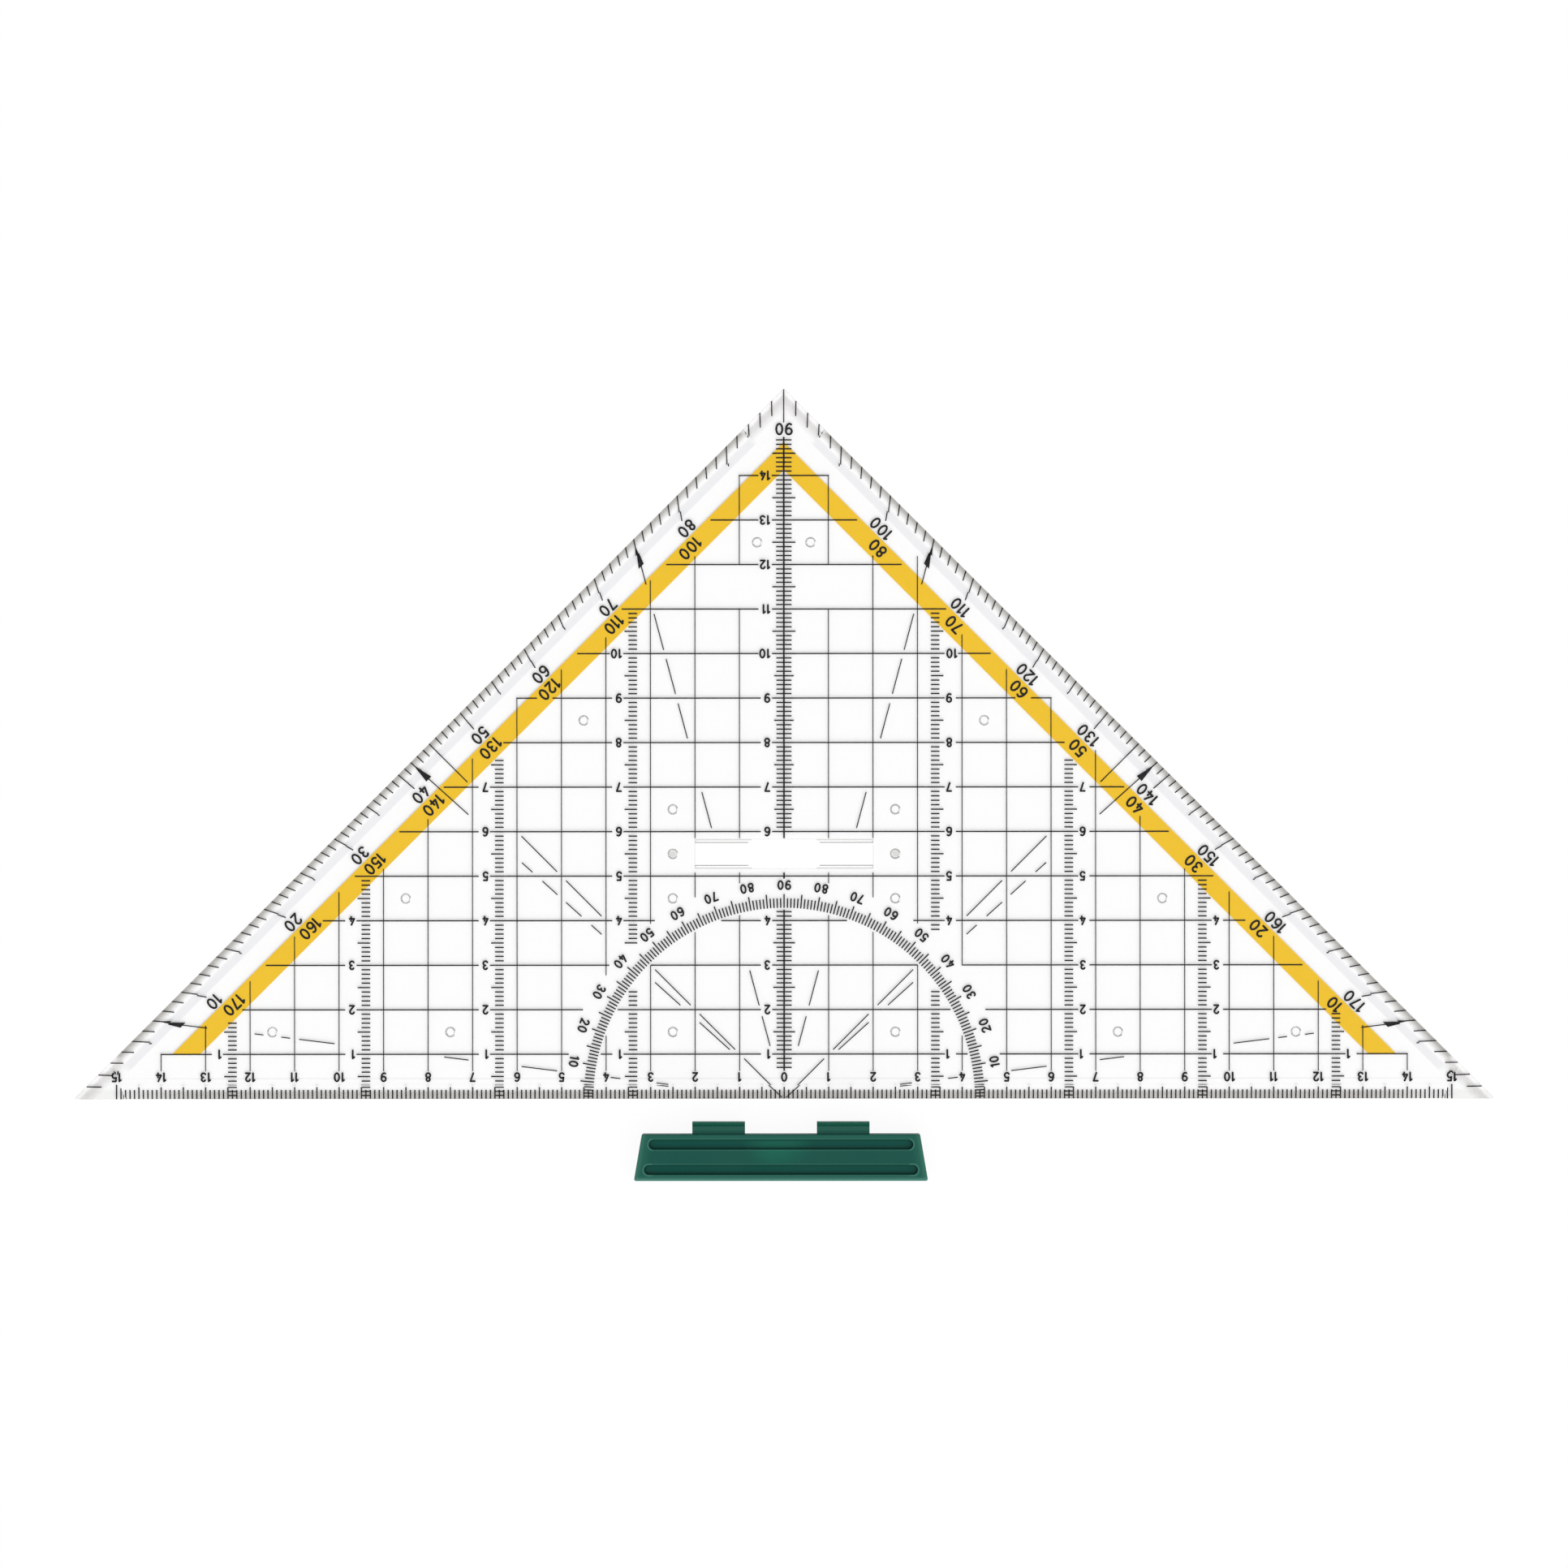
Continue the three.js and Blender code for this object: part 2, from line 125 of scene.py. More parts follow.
class PlateSettings(bpy.types.PropertyGroup):
    """Finish of the clear plate, with the painted shade of its bevels, corners, feet and window."""

    full_tint: seen_through("Tint", "the flat plate", 254, 254, 254)
    # The edge, long edge, fold and corner tints are painted shade on the bevels, where they begin and in the
    # unbevelled corners
    edge_tint: seen_through("Edge tint", "the bevelled rim", 184, 181, 177)
    base_tint: seen_through("Long edge tint", "the long edge's bevel", 212, 210, 207)
    fold_tint: seen_through("Fold tint", "the faint band where a bevel begins", 241, 241, 243)
    corner_tint: seen_through("Corner tint", "the unbevelled corners", 228, 227, 226)
    # Painted grey shade on the feet's rounded rims
    foot_tint: seen_through("Foot tint", "the feet's rounded rims", 150, 149, 145)
    gate_tint: seen_through("Gate tint", "the moulding gates' dimples", 222, 222, 220)
    # Painted shade lines on the lips' edges and along the window's walls
    lip_tint: seen_through("Lip tint", "the edges of the window's lips", 100, 98, 96)
    wall_tint: seen_through("Wall tint", "the plate along the window's walls", 222, 221, 220)
    ior: amount("Refraction", "Index of refraction of the clear plastic", 1.49, 1.0, 2.0)
    shine: amount("Shine", "Share of the usual reflection, seen face on", 0.2)


class InkSettings(bpy.types.PropertyGroup):
    """Colours of the print and sizes of its strokes and numbers."""

    black: colour("Black", "Colour of the black ink", 22, 20, 20)
    yellow: colour("Yellow", "Colour of the yellow ink", 239, 193, 42)
    line_width: millimetres("Line width", "Width of the guide lines", 0.245)
    tick_width: millimetres("Tick width", "Width of the millimetre strokes", 0.31)
    degree_width: millimetres("Degree width", "Width of the degree strokes along the edges", 0.27)
    arc_width: millimetres("Arc width", "Width of the degree strokes round the arc", 0.31)
    number_height: millimetres("Number height", "Height of the centimetre numbers", 2.25)
    arc_number_height: millimetres("Arc number height", "Height of the numbers on the arc", 2.25)
    edge_number_height: millimetres("Edge number height", "Height of the numbers on the edges", 2.84)
    number_pen: millimetres("Pen", "Width of the strokes of the numbers", 0.425)
    edge_pen: millimetres("Edge pen", "Width of the strokes of the numbers on the edges", 0.465)


class GripSettings(bpy.types.PropertyGroup):
    """Colours of the moulded grip, with painted light and shade on its edges, grooves and tabs."""

    face: colour("Face", "Colour of the faces", 30, 87, 75)
    # Painted highlight where the faces roll over to the sides
    edge: colour("Edge", "Colour where the faces roll over to the sides", 52, 107, 91)
    # Painted shade in the shallow hollow between the grooves
    hollow: colour("Hollow", "Colour of the shallow hollow between the grooves", 20, 77, 67)
    # Painted highlight along the lower edge
    foot: colour("Foot", "Colour of the worn lower edge", 74, 127, 114)
    # Painted shade on the grooves' floors
    groove: colour("Groove", "Colour of the grooves' floors", 5, 76, 66)
    # Painted shade in the grooves' inner corners
    crease: colour("Crease", "Colour of the grooves' dull inner corners", 0, 63, 49)
    # Painted highlight on the lips round the grooves
    lip: colour("Lip", "Colour of the polished lips round the grooves", 61, 115, 102)
    neck: colour("Neck", "Colour of the necks of the tabs", 35, 86, 73)
    # Painted shade on the beads behind their tips
    bead: colour("Bead", "Colour of the beads behind their tips", 4, 84, 65)
    blush: colour("Blush", "Paler flow mark by the moulding gate", 22, 100, 81)
    blush_radius: millimetres("Blush radius", "Half width of the flow mark", 7.2)
    roughness: amount("Roughness", "Roughness of the moulded faces", 0.3)


class StageSettings(bpy.types.PropertyGroup):
    """Camera, floor and light."""

    view_width: millimetres("View width", "Width that the camera sees at the print", 352.45)
    view_up: millimetres("View centre", "Height of the picture's centre above the zero mark", 70.69)
    tilt: FloatProperty(
        name="Tilt", description="Turn of the camera about its own axis", default=math.radians(-0.038),
        subtype="ANGLE", unit="ROTATION",
    )
    lens: amount("Lens", "Focal length in millimetres", 200.0, 1.0, 2000.0)
    light: amount("Light", "Strength of the key light", 2.7, 0.0, 100.0)
    fill: amount("Fill", "Strength of the light from all round", 0.42, 0.0, 100.0)
    floor_level: amount("Floor", "Brightness of the bare floor", 0.98)


# Node trees

def both_ways(operation):
    """Methods of Link for an operation with a value on its right and with a value on its left."""
    def with_right(self, other):
        return self.math(operation, other)

    def with_left(self, other):
        return self.graph.add("ShaderNodeMath", {0: other, 1: self}, operation=operation)

    return with_right, with_left


class Link:
    """An output of a node. Sums and products of links and numbers add Math nodes."""

    def __init__(self, graph, socket):
        self.graph = graph
        self.socket = socket

    def math(self, operation, *others):
        return self.graph.add("ShaderNodeMath", dict(enumerate((self, *others))), operation=operation)

    def other(self, name):
        """Another output of the same node."""
        return Link(self.graph, self.socket.node.outputs[name])

    __add__, __radd__ = both_ways("ADD")
    __sub__, __rsub__ = both_ways("SUBTRACT")
    __mul__, __rmul__ = both_ways("MULTIPLY")
    __truediv__, __rtruediv__ = both_ways("DIVIDE")

    def __abs__(self):
        return self.math("ABSOLUTE")

    def clamped(self):
        return self.math("MAXIMUM", 0.0).math("MINIMUM", 1.0)


class Graph:
    """Adds nodes to one tree: a node's settings come first, then the values or links of its sockets."""

    def __init__(self, tree):
        self.tree = tree

    def add(self, kind, inputs=None, output=0, **settings):
        node = self.tree.nodes.new(kind)
        for name, value in settings.items():
            setattr(node, name, value)
        for key, value in (inputs or {}).items():
            if isinstance(value, Link):
                self.tree.links.new(value.socket, node.inputs[key])
            else:
                node.inputs[key].default_value = value
        return Link(self, node.outputs[output])

    def end(self, kind, inputs):
        """A node with no outputs, such as a group's or a material's output."""
        node = self.tree.nodes.new(kind)
        for key, value in inputs.items():
            self.tree.links.new(value.socket, node.inputs[key])

    def smooth(self, value, low, high, start=0.0, end=1.0):
        """start below low, end above high, with a soft step between them."""
        return self.add(
            "ShaderNodeMapRange",
            {"Value": value, "From Min": low, "From Max": high, "To Min": start, "To Max": end},
            interpolation_type="SMOOTHSTEP",
        )

    def fade(self, value, low, high, start=1.0):
        """start below low, nothing above high."""
        return self.smooth(value, low, high, start, 0.0)

    def ramp(self, depth, span, stops, shades):
        """Colour across a span. Each stop is a depth in millimetres and the name of a shade."""
        made = self.add("ShaderNodeValToRGB", {0: depth / span})
        elements = made.socket.node.color_ramp.elements
        for place, _ in stops[2:]:
            elements.new(place * MM / span)
        for element, (place, name) in zip(elements, stops):
            element.position = place * MM / span
            element.color = shades[name]
        return made

    def mixed(self, share, first, second, blend="MIX"):
        """Colour between first and second, or first blended with second."""
        inputs = {"Factor": share, 6: first, 7: second}
        return self.add("ShaderNodeMix", inputs, output=2, data_type="RGBA", blend_type=blend)

    def facing(self, way, other):
        """Cosine of the angle between two ways of length 1."""
        ways = {0: way, 1: tuple(other)}
        return self.add("ShaderNodeVectorMath", ways, output="Value", operation="DOT_PRODUCT")

    def xyz(self, **parts):
        return self.add("ShaderNodeCombineXYZ", parts)

    def place(self):
        """Place on the object."""
        return self.add("ShaderNodeTexCoord", output="Object")

    def noise(self, position, scale, detail=2.0):
        return self.add("ShaderNodeTexNoise", {"Vector": position, "Scale": scale, "Detail": detail})

    def plastic(self, colour_link, roughness, shine, grain, strength, depth):
        """Opaque surface with fine bumps. The last three set the bumps."""
        bump = self.add("ShaderNodeBump", {"Height": grain, "Strength": strength, "Distance": depth})
        return self.add("ShaderNodeBsdfPrincipled", {
            "Base Color": colour_link, "Roughness": roughness, "Specular IOR Level": shine, "Normal": bump,
        })


def shades_of(settings, names, ending=""):
    """Colours of the settings with these names."""
    return {name: (*getattr(settings, name + ending), 1.0) for name in names}


def grey(level):
    return (level, level, level, 1.0)


def new_material(name):
    material = bpy.data.materials.new(name)
    material.use_nodes = True
    material.node_tree.nodes.clear()
    return material, Graph(material.node_tree)


def finished(material, graph, shader):
    """The material, with this shader as its surface."""
    graph.end("ShaderNodeOutputMaterial", {"Surface": shader})
    return material


# Materials

# Fineness of the noises
FOOT_NOISE = 500.0
FILM_NOISE = 900.0
PATCH_NOISE = 60.0
WANDER_NOISE = 260.0
CLOUD_NOISE = 120.0
GRAIN_NOISE = 5200.0
# Attribute with the way that a foot's rim faces, and the depth that the shades of the plate's rims span
RIM_WAY = "rim_way"
RIM_SPAN = 5.5 * MM
TINTS = ("full", "edge", "base", "fold", "corner", "foot", "gate", "lip", "wall")
# Painted shade across the rims: each is a depth from the edge in millimetres and the name of a tint
SIDE_RIM = (
    (0, "edge"), (0.55, "edge"), (2.05, "full"), (2.4, "full"), (2.9, "fold"), (4.15, "fold"), (4.5, "full"),
)
BASE_RIM = (
    (0, "edge"), (0.35, "base"), (1.65, "base"), (2.4, "full"), (4.35, "full"), (4.6, "fold"), (4.85, "full"),
)
CORNER_RIM = ((0, "corner"), (0.15, "full"), (0.6, "full"), (1.15, "corner"), (1.8, "corner"), (3.6, "full"))
# Where the bevels end, measured along the edges from their middles, and how softly their shade fades there
SIDE_BEVEL_REACH = 98.5 * MM
SIDE_BEVEL_FADE = 2 * MM
BASE_BEVEL_REACH = 148 * MM
BASE_BEVEL_FADE = 20 * MM
BASE_CORNER_SHARE = 0.25
GATE_PLACE = (25 * MM, 55 * MM)
GATE_RADII = (0.62 * MM, 0.8 * MM)
# Share of the light that each face of the plate lets through
SHADE = 0.97
# Turns after which a ray caught between the faces goes straight on, so that the edges don't look black
CAUGHT_AFTER = 4.5
# Height of the window's middle and half its size, half the gap between its lips and where the lips begin
WINDOW_MIDDLE = 55 * MM
WINDOW_HALF = (20 * MM, 3.3 * MM)
LIP_HALF_GAP = 2.5 * MM
LIP_START = 7.9 * MM
# Lines of painted shade along the lips' edges and, a little inside them, along the walls. Each has the half
# widths at which its fading begins and ends.
LIP_LINE = (0.07 * MM, 0.2 * MM)
WALL_LINE = (0.08 * MM, 0.25 * MM)
WALL_LINE_INSET = 0.1 * MM
LIP_START_FADE = 0.2 * MM
LIP_END_FADE = 0.05 * MM


def clear_glass(graph, settings, tint):
    """Shader of the clear plastic. It bends what is seen through it, and lets the light straight through."""
    bending = graph.add("ShaderNodeBsdfPrincipled", {
        "Base Color": tint,
        "Roughness": 0.0,
        "IOR": settings.ior,
        "Specular Tint": grey(settings.shine),
        "Transmission Weight": 1.0,
    })
    rays = graph.add("ShaderNodeLightPath", output="Is Shadow Ray")
    light = rays.math("MAXIMUM", rays.other("Is Diffuse Ray"))
    caught = rays.other("Ray Depth").math("GREATER_THAN", CAUGHT_AFTER)
    straight = graph.add("ShaderNodeBsdfTransparent", {"Color": grey(SHADE)})
    through = light.math("MAXIMUM", caught)
    return graph.add("ShaderNodeMixShader", {0: through, 1: bending, 2: straight})


def clear_plastic(settings):
    """Polished clear moulding, with painted shade along its bevelled rim and a faint band where the bevel
    begins.
    """
    material, graph = new_material("clear_plastic")
    position = graph.place()
    parts = graph.add("ShaderNodeSeparateXYZ", {0: position})
    across, up = abs(parts), parts.other("Y")
    side = (EDGE_REACH - across - up) / math.sqrt(2)
    side_along = abs(across - up) / math.sqrt(2)

    shades = shades_of(settings, TINTS, "_tint")
    # Ramps of painted shade across the rims: in the corners, along the short edges and along the long edge
    corner_rim, side_rim, base_rim = (
        graph.ramp(depth, RIM_SPAN, stops, shades)
        for depth, stops in ((side, CORNER_RIM), (side, SIDE_RIM), (up, BASE_RIM))
    )
    side_bevelled = graph.fade(side_along, SIDE_BEVEL_REACH, SIDE_BEVEL_REACH + SIDE_BEVEL_FADE)
    fade_start = BASE_BEVEL_REACH - BASE_BEVEL_FADE
    base_bevelled = graph.smooth(across, fade_start, BASE_BEVEL_REACH, 1.0, BASE_CORNER_SHARE)
    side_tint = graph.mixed(side_bevelled, corner_rim, side_rim)
    base_tint = graph.mixed(base_bevelled, shades["full"], base_rim)
    tint = graph.mixed(1.0, side_tint, base_tint, "MULTIPLY")
    aside, above = across - GATE_PLACE[0], up - GATE_PLACE[1]
    from_gate = (aside * aside + above * above).math("SQRT")
    tint = graph.mixed(graph.smooth(from_gate, *GATE_RADII), shades["gate"], tint)

    from_window = abs(up - WINDOW_MIDDLE)
    beside = (across - WINDOW_HALF[0]).math("MAXIMUM", from_window - WINDOW_HALF[1])
    # Painted shade along the window's walls and the lips' edges
    wall = graph.fade(abs(beside + WALL_LINE_INSET), *WALL_LINE)
    tint = graph.mixed(wall, tint, shades["wall"])
    lip = graph.fade(from_window - LIP_HALF_GAP, *LIP_LINE)
    lip = lip * graph.smooth(across, LIP_START, LIP_START + LIP_START_FADE)
    lip = lip * graph.fade(across, WINDOW_HALF[0], WINDOW_HALF[0] + LIP_END_FADE)
    tint = graph.mixed(lip, tint, shades["lip"])
    return finished(material, graph, clear_glass(graph, settings, tint))


# Painted glints on a foot's rim: the way that each lies, and the cosine at which it begins
GLINTS = ((-12, 0.9), (191, 0.975))
GLINT_SOFTNESS = 0.04
# How unevenly the painted grey shade lies on the rest of the rim
CLEAR_SPREAD = 0.5
CLEAR_LOSS = 0.1


def foot_plastic(settings):
    """The feet's rounded rims, painted grey as shade where they bend the light away, but for a painted glint
    on each side.
    """
    material, graph = new_material("foot_plastic")
    way = graph.add("ShaderNodeAttribute", output="Vector", attribute_name=RIM_WAY)
    clear = graph.noise(graph.place(), FOOT_NOISE) * CLEAR_SPREAD - CLEAR_LOSS
    for degrees, least in GLINTS:
        facing = graph.facing(way, (*on_ray(degrees, 1.0), 0.0))
        clear = clear + graph.smooth(facing, least, least + GLINT_SOFTNESS)
    shades = shades_of(settings, ("foot", "full"), "_tint")
    tint = graph.mixed(clear.clamped(), shades["foot"], shades["full"])
    return finished(material, graph, clear_glass(graph, settings, tint))


INK_ROUGHNESS = 0.5
INK_ROUGHNESS_SPREAD = 0.2


def ink(name, colour_value, unevenness):
    """Screen-printed ink: matt, with a slightly uneven film."""
    material, graph = new_material(name)
    position = graph.place()
    cloud = graph.noise(position, FILM_NOISE, 3.0)
    patch = graph.noise(position, PATCH_NOISE)
    shade = 1.0 + (cloud + patch - 1.0) * unevenness
    tinted = graph.add("ShaderNodeVectorMath", {0: colour_value, "Scale": shade}, operation="SCALE")
    roughness = INK_ROUGHNESS + cloud * INK_ROUGHNESS_SPREAD
    shader = graph.plastic(tinted, roughness, shine=0.15, grain=cloud, strength=0.1, depth=0.02 * MM)
    return finished(material, graph, shader)


# The grip's outline: reach of its tabs, depth below its root edge, half the root edge and the sides' slope
GRIP_TAB_REACH = 2.74 * MM
GRIP_DEPTH = 10.5 * MM
GRIP_ROOT_HALF = 31.2 * MM
GRIP_FLARE = 0.171
GROOVE_RADIUS = 1.09 * MM
# Where each shade of the grip comes in, from its first trace to its full strength: the face and the painted
# shade of the hollow in from the sides, the painted highlight of the foot before the lower edge, the painted
# shade of the grooves' floors below the face
FACE_FROM_SIDE = (0.1 * MM, 1.4 * MM)
HOLLOW_FROM_SIDE = (1.2 * MM, 3.2 * MM)
FOOT_HIGHLIGHT_SPAN = 1.1 * MM
FLOOR_DEPTHS = (0.4 * MM, 1.1 * MM)
SHARP = 0.01 * MM
# Rises and falls of the painted highlights on the lips and of the painted shade in the creases, counted from
# the grooves' walls
LIP_RISE = (0, 0.12 * MM)
LIP_FALL = (0.15 * MM, 0.5 * MM)
LIP_END_SPAN = 0.6 * MM
LIP_SIDE_SHARE = 0.3
CREASE_RISE = (-0.45 * MM, -0.12 * MM)
CREASE_FALL = (0, 0.08 * MM)
CREASE_SHARE = 0.85
# The flow mark: its place off the middle and below the root, its form, and the span in which it shows
BLUSH_ASIDE = 0.8 * MM
BLUSH_FLATNESS = 0.92
BLUSH_EDGE = (0.5, 1.4)
BLUSH_SHARE = 0.75
BLUSH_START = (0.6 * MM, 1.6 * MM)
BLUSH_END = (6.4 * MM, 7 * MM)
BLUSH_WANDER = 0.3
# How much the clouds change the colour and the roughness
CLOUD_SHARE = 0.05
CLOUD_SPREAD = 0.22
CLOUD_ROUGHNESS = 0.16
# Depth from the root edge and straight half length of each groove
GROOVES = ((2.32 * MM, 28.56 * MM), (8 * MM, 29.61 * MM))
# Painted light and shade along a tab, each with its distance from the tip in millimetres and its colour's
# name
TAB_SHADES = (
    (0, "edge"), (0.15, "edge"), (0.42, "bead"), (0.82, "crease"),
    (1.1, "neck"), (1.9, "neck"), (2.15, "hollow"), (2.5, "face"),
)
SHADES = ("face", "edge", "foot", "hollow", "groove", "crease", "lip", "neck", "bead", "blush")


def moulded_green(settings):
    """Green moulding with painted shade where it is sunk and in its creases, painted highlights on its edges,
    and a pale flow mark by the gate.
    """
    material, graph = new_material("green_plastic")
    position = graph.place()
    parts = graph.add("ShaderNodeSeparateXYZ", {0: position})
    middle = (GRIP_LOW + GRIP_HIGH) / 2
    sunk = middle.z - GRIP_LOW.z - abs(parts.other("Z") - middle.z)
    across = abs(parts - middle.x)
    from_root = GRIP_HIGH.y - GRIP_TAB_REACH - parts.other("Y")
    from_side = from_root * GRIP_FLARE + GRIP_ROOT_HALF - across
    shades = shades_of(settings, SHADES)

    def near_groove(depth, straight):
        past_end = (across - straight).math("MAXIMUM", 0.0)
        aside = from_root - depth
        return (past_end * past_end + aside * aside).math("SQRT")

    near = near_groove(*GROOVES[0]).math("MINIMUM", near_groove(*GROOVES[1]))
    (upper, straight), (lower, _) = GROOVES
    half = (lower - upper) / 2
    between = graph.fade(abs(from_root - (upper + lower) / 2), half, half + SHARP)

    aside = (parts - middle.x + BLUSH_ASIDE) / settings.blush_radius
    below = (from_root - BLUSH_ASIDE) / (BLUSH_FLATNESS * settings.blush_radius)
    wander = graph.noise(position, WANDER_NOISE, 3.0) * BLUSH_WANDER
    reach = (aside * aside + below * below).math("SQRT") + wander
    shown = graph.smooth(from_root, *BLUSH_START) * graph.fade(from_root, *BLUSH_END)

    ends = graph.smooth(across - straight, 0, LIP_END_SPAN, LIP_SIDE_SHARE, 1.0)
    past_wall = near - GROOVE_RADIUS
    # The face and flow mark layers are the moulding's colour; hollow, groove and crease are painted shade,
    # foot and lip painted highlights
    layers = (
        ("face", graph.smooth(from_side, *FACE_FROM_SIDE)),
        ("hollow", between * graph.smooth(from_side, *HOLLOW_FROM_SIDE)),
        ("foot", graph.smooth(from_root, GRIP_DEPTH - FOOT_HIGHLIGHT_SPAN, GRIP_DEPTH)),
        ("groove", graph.smooth(sunk, *FLOOR_DEPTHS)),
        ("blush", graph.fade(reach, *BLUSH_EDGE, BLUSH_SHARE) * shown),
        ("lip", graph.smooth(past_wall, *LIP_RISE) * graph.fade(past_wall, *LIP_FALL) * ends),
        ("crease", graph.smooth(past_wall, *CREASE_RISE) * graph.fade(past_wall, *CREASE_FALL, CREASE_SHARE)),
    )
    # The body starts from the painted highlight of the rolled-over sides
    body = shades["edge"]
    for name, share in layers:
        body = graph.mixed(share, body, shades[name])

    tab = graph.ramp(from_root + GRIP_TAB_REACH, GRIP_TAB_REACH, TAB_SHADES, shades)
    body = graph.mixed(graph.smooth(from_root, -2 * SHARP, 2 * SHARP), tab, body)
    cloud = graph.noise(position, CLOUD_NOISE, 3.0) - 0.5
    body = graph.mixed(cloud * CLOUD_SPREAD + CLOUD_SHARE, body, shades["face"])

    roughness = settings.roughness + cloud * CLOUD_ROUGHNESS
    grain = graph.noise(position, GRAIN_NOISE)
    shader = graph.plastic(body, roughness, shine=0.12, grain=grain, strength=0.25, depth=0.03 * MM)
    return finished(material, graph, shader)


def dress(node, material):
    """Gives a node of the frame its finish."""
    for slot in frame["nodes"][node].material_slots:
        slot.material = material


def black_ink():
    """The black ink, made once."""
    made = bpy.data.materials.get("black_ink_print")
    return made or ink("black_ink_print", tuple(bpy.context.scene.set_square_ink.black), 0.25)


# Meshes

def new_object(name, data):
    """An object in the scene."""
    made = bpy.data.objects.new(name, data)
    bpy.context.scene.collection.objects.link(made)
    return made


def mesh_object(name, mesh, material=None):
    """Makes a finished piece that rides on the plate, in black ink where no other material is given."""
    mesh.name = name
    mesh.materials.clear()
    mesh.materials.append(material or black_ink())
    piece = new_object(name, mesh)
    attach(piece, PLATE_BODY)


def plain_mesh(made, name):
    """The mesh that a bmesh holds, which is used up."""
    mesh = bpy.data.meshes.new(name)
    made.to_mesh(mesh)
    made.free()
    return mesh


def joined(meshes):
    """One mesh of several, which are used up."""
    made = bmesh.new()
    for mesh in meshes:
        made.from_mesh(mesh)
        bpy.data.meshes.remove(mesh)
    return plain_mesh(made, "joined")


def at_print(across=0.0, degrees=0.0):
    """Place of a row of strokes at the height of the print."""
    return Matrix.Translation((across, 0, INK_TOP)) @ Matrix.Rotation(math.radians(degrees), 4, "Z")


# Corners nearer than this become one
SNAP = 1e-5


def flat_union(polygons):
    """Corners and triangles that cover overlapping outlines once."""
    corners = [Vector(point) for polygon in polygons for point in polygon]
    faces, first = [], 0
    for polygon in polygons:
        faces.append(list(range(first, first + len(polygon))))
        first += len(polygon)
    corners, _, triangles, _, _, sources = delaunay_2d_cdt(corners, [], faces, 1, SNAP)
    return corners, [face for face, source in zip(triangles, sources) if source]


def printed_mesh(polygons, thickness):
    """Closed thin solid under a set of outlines, its top at height 0."""
    corners, top = flat_union(polygons)
    edges = [edge for face in top for edge in zip(face, [*face[1:], face[0]])]
    known = set(edges)
    count = len(corners)
    bottom = [[i + count for i in reversed(face)] for face in top]
    # Each edge of one face only lies on the rim and has a side below it
    sides = [(b, a, a + count, b + count) for a, b in edges if (b, a) not in known]
    points = [(corner.x, corner.y, height) for height in (0.0, -thickness) for corner in corners]
    mesh = bpy.data.meshes.new("print")
    mesh.from_pydata(points, [], [*top, *bottom, *sides])
    return mesh


def bar(start, end, width):
    """Outline of a straight stroke."""
    start, end = Vector(start), Vector(end)
    across = (end - start).orthogonal().normalized() * width / 2
    return [start - across, end - across, end + across, start + across]


def on_ray(degrees, radius):
    """Point at this distance from the zero mark."""
    angle = math.radians(degrees)
    return Vector((radius * math.cos(angle), radius * math.sin(angle)))


def edge_radius(degrees):
    """Distance of a short edge from the zero mark along a ray."""
    angle = math.radians(degrees)
    return EDGE_REACH / (abs(math.cos(angle)) + math.sin(angle))


def below_edge(degrees, depth):
    """Point on a ray, this deep below the short edge."""
    return on_ray(degrees, edge_radius(degrees) * (1 - depth * math.sqrt(2) / EDGE_REACH))


# Numbers, drawn with a round pen in a cell of height 1

# The strokes below are the middle lines of a pen this wide, and the round numerals in them are this wide
DRAWN_PEN = 0.12
DRAWN_WIDTH = 0.6
# Width of the round numerals in print, whatever the pen
PRINT_WIDTH = 0.63
PEN_CORNER = math.radians(35)
CAP_STEPS = 4


def arc(centre, radii, start, end, steps=12):
    """Points along an elliptical arc, its angles in degrees."""
    angles = [math.radians(start + (end - start) * i / steps) for i in range(steps + 1)]
    return [
        Vector((centre[0] + radii[0] * math.cos(angle), centre[1] + radii[1] * math.sin(angle)))
        for angle in angles
    ]


def path(*points):
    return [Vector(point) for point in points]


def half_turned(strokes):
    """The same strokes, read upside down."""
    return [[Vector((-point.x, 1 - point.y)) for point in stroke] for stroke in strokes]


def glyph_strokes():
    """Pen strokes of the ten numerals, each centred on 0 and standing from 0 to 1 with its pen."""
    six = [
        arc((0, 0.315), (0.24, 0.255), 0, 360, 18),
        arc((0.05, 0.42), (0.29, 0.52), 183, 62, 9),
    ]
    return [
        [arc((0, 0.5), (0.245, 0.44), 0, 360, 20)],
        [path((-0.10, 0.80), (0.07, 0.94), (0.07, 0.06))],
        [arc((-0.01, 0.70), (0.225, 0.24), 165, -32) + path((-0.23, 0.06), (0.24, 0.06))],
        [
            arc((-0.01, 0.725), (0.20, 0.215), 155, -90, 10),
            arc((-0.01, 0.285), (0.235, 0.225), 90, -155, 12),
        ],
        [path((0.06, 0.94), (-0.24, 0.28), (0.25, 0.28)), path((0.10, 0.52), (0.10, 0.06))],
        [
            path((0.19, 0.94), (-0.16, 0.94), (-0.19, 0.53)),
            arc((-0.02, 0.33), (0.245, 0.27), 132, -150),
        ],
        six,
        [path((-0.23, 0.94), (0.23, 0.94), (-0.07, 0.06))],
        [arc((0, 0.735), (0.19, 0.205), 0, 360, 14), arc((0, 0.295), (0.235, 0.235), 0, 360, 16)],
        half_turned(six),
    ]


def smooth_runs(stroke):
    """Splits a stroke at its sharp corners."""
    runs = [[stroke[0]]]
    for before, point, after in zip(stroke, stroke[1:], stroke[2:]):
        runs[-1].append(point)
        if (point - before).angle(after - point) > PEN_CORNER:
            runs.append([point])
    runs[-1].append(stroke[-1])
    return runs


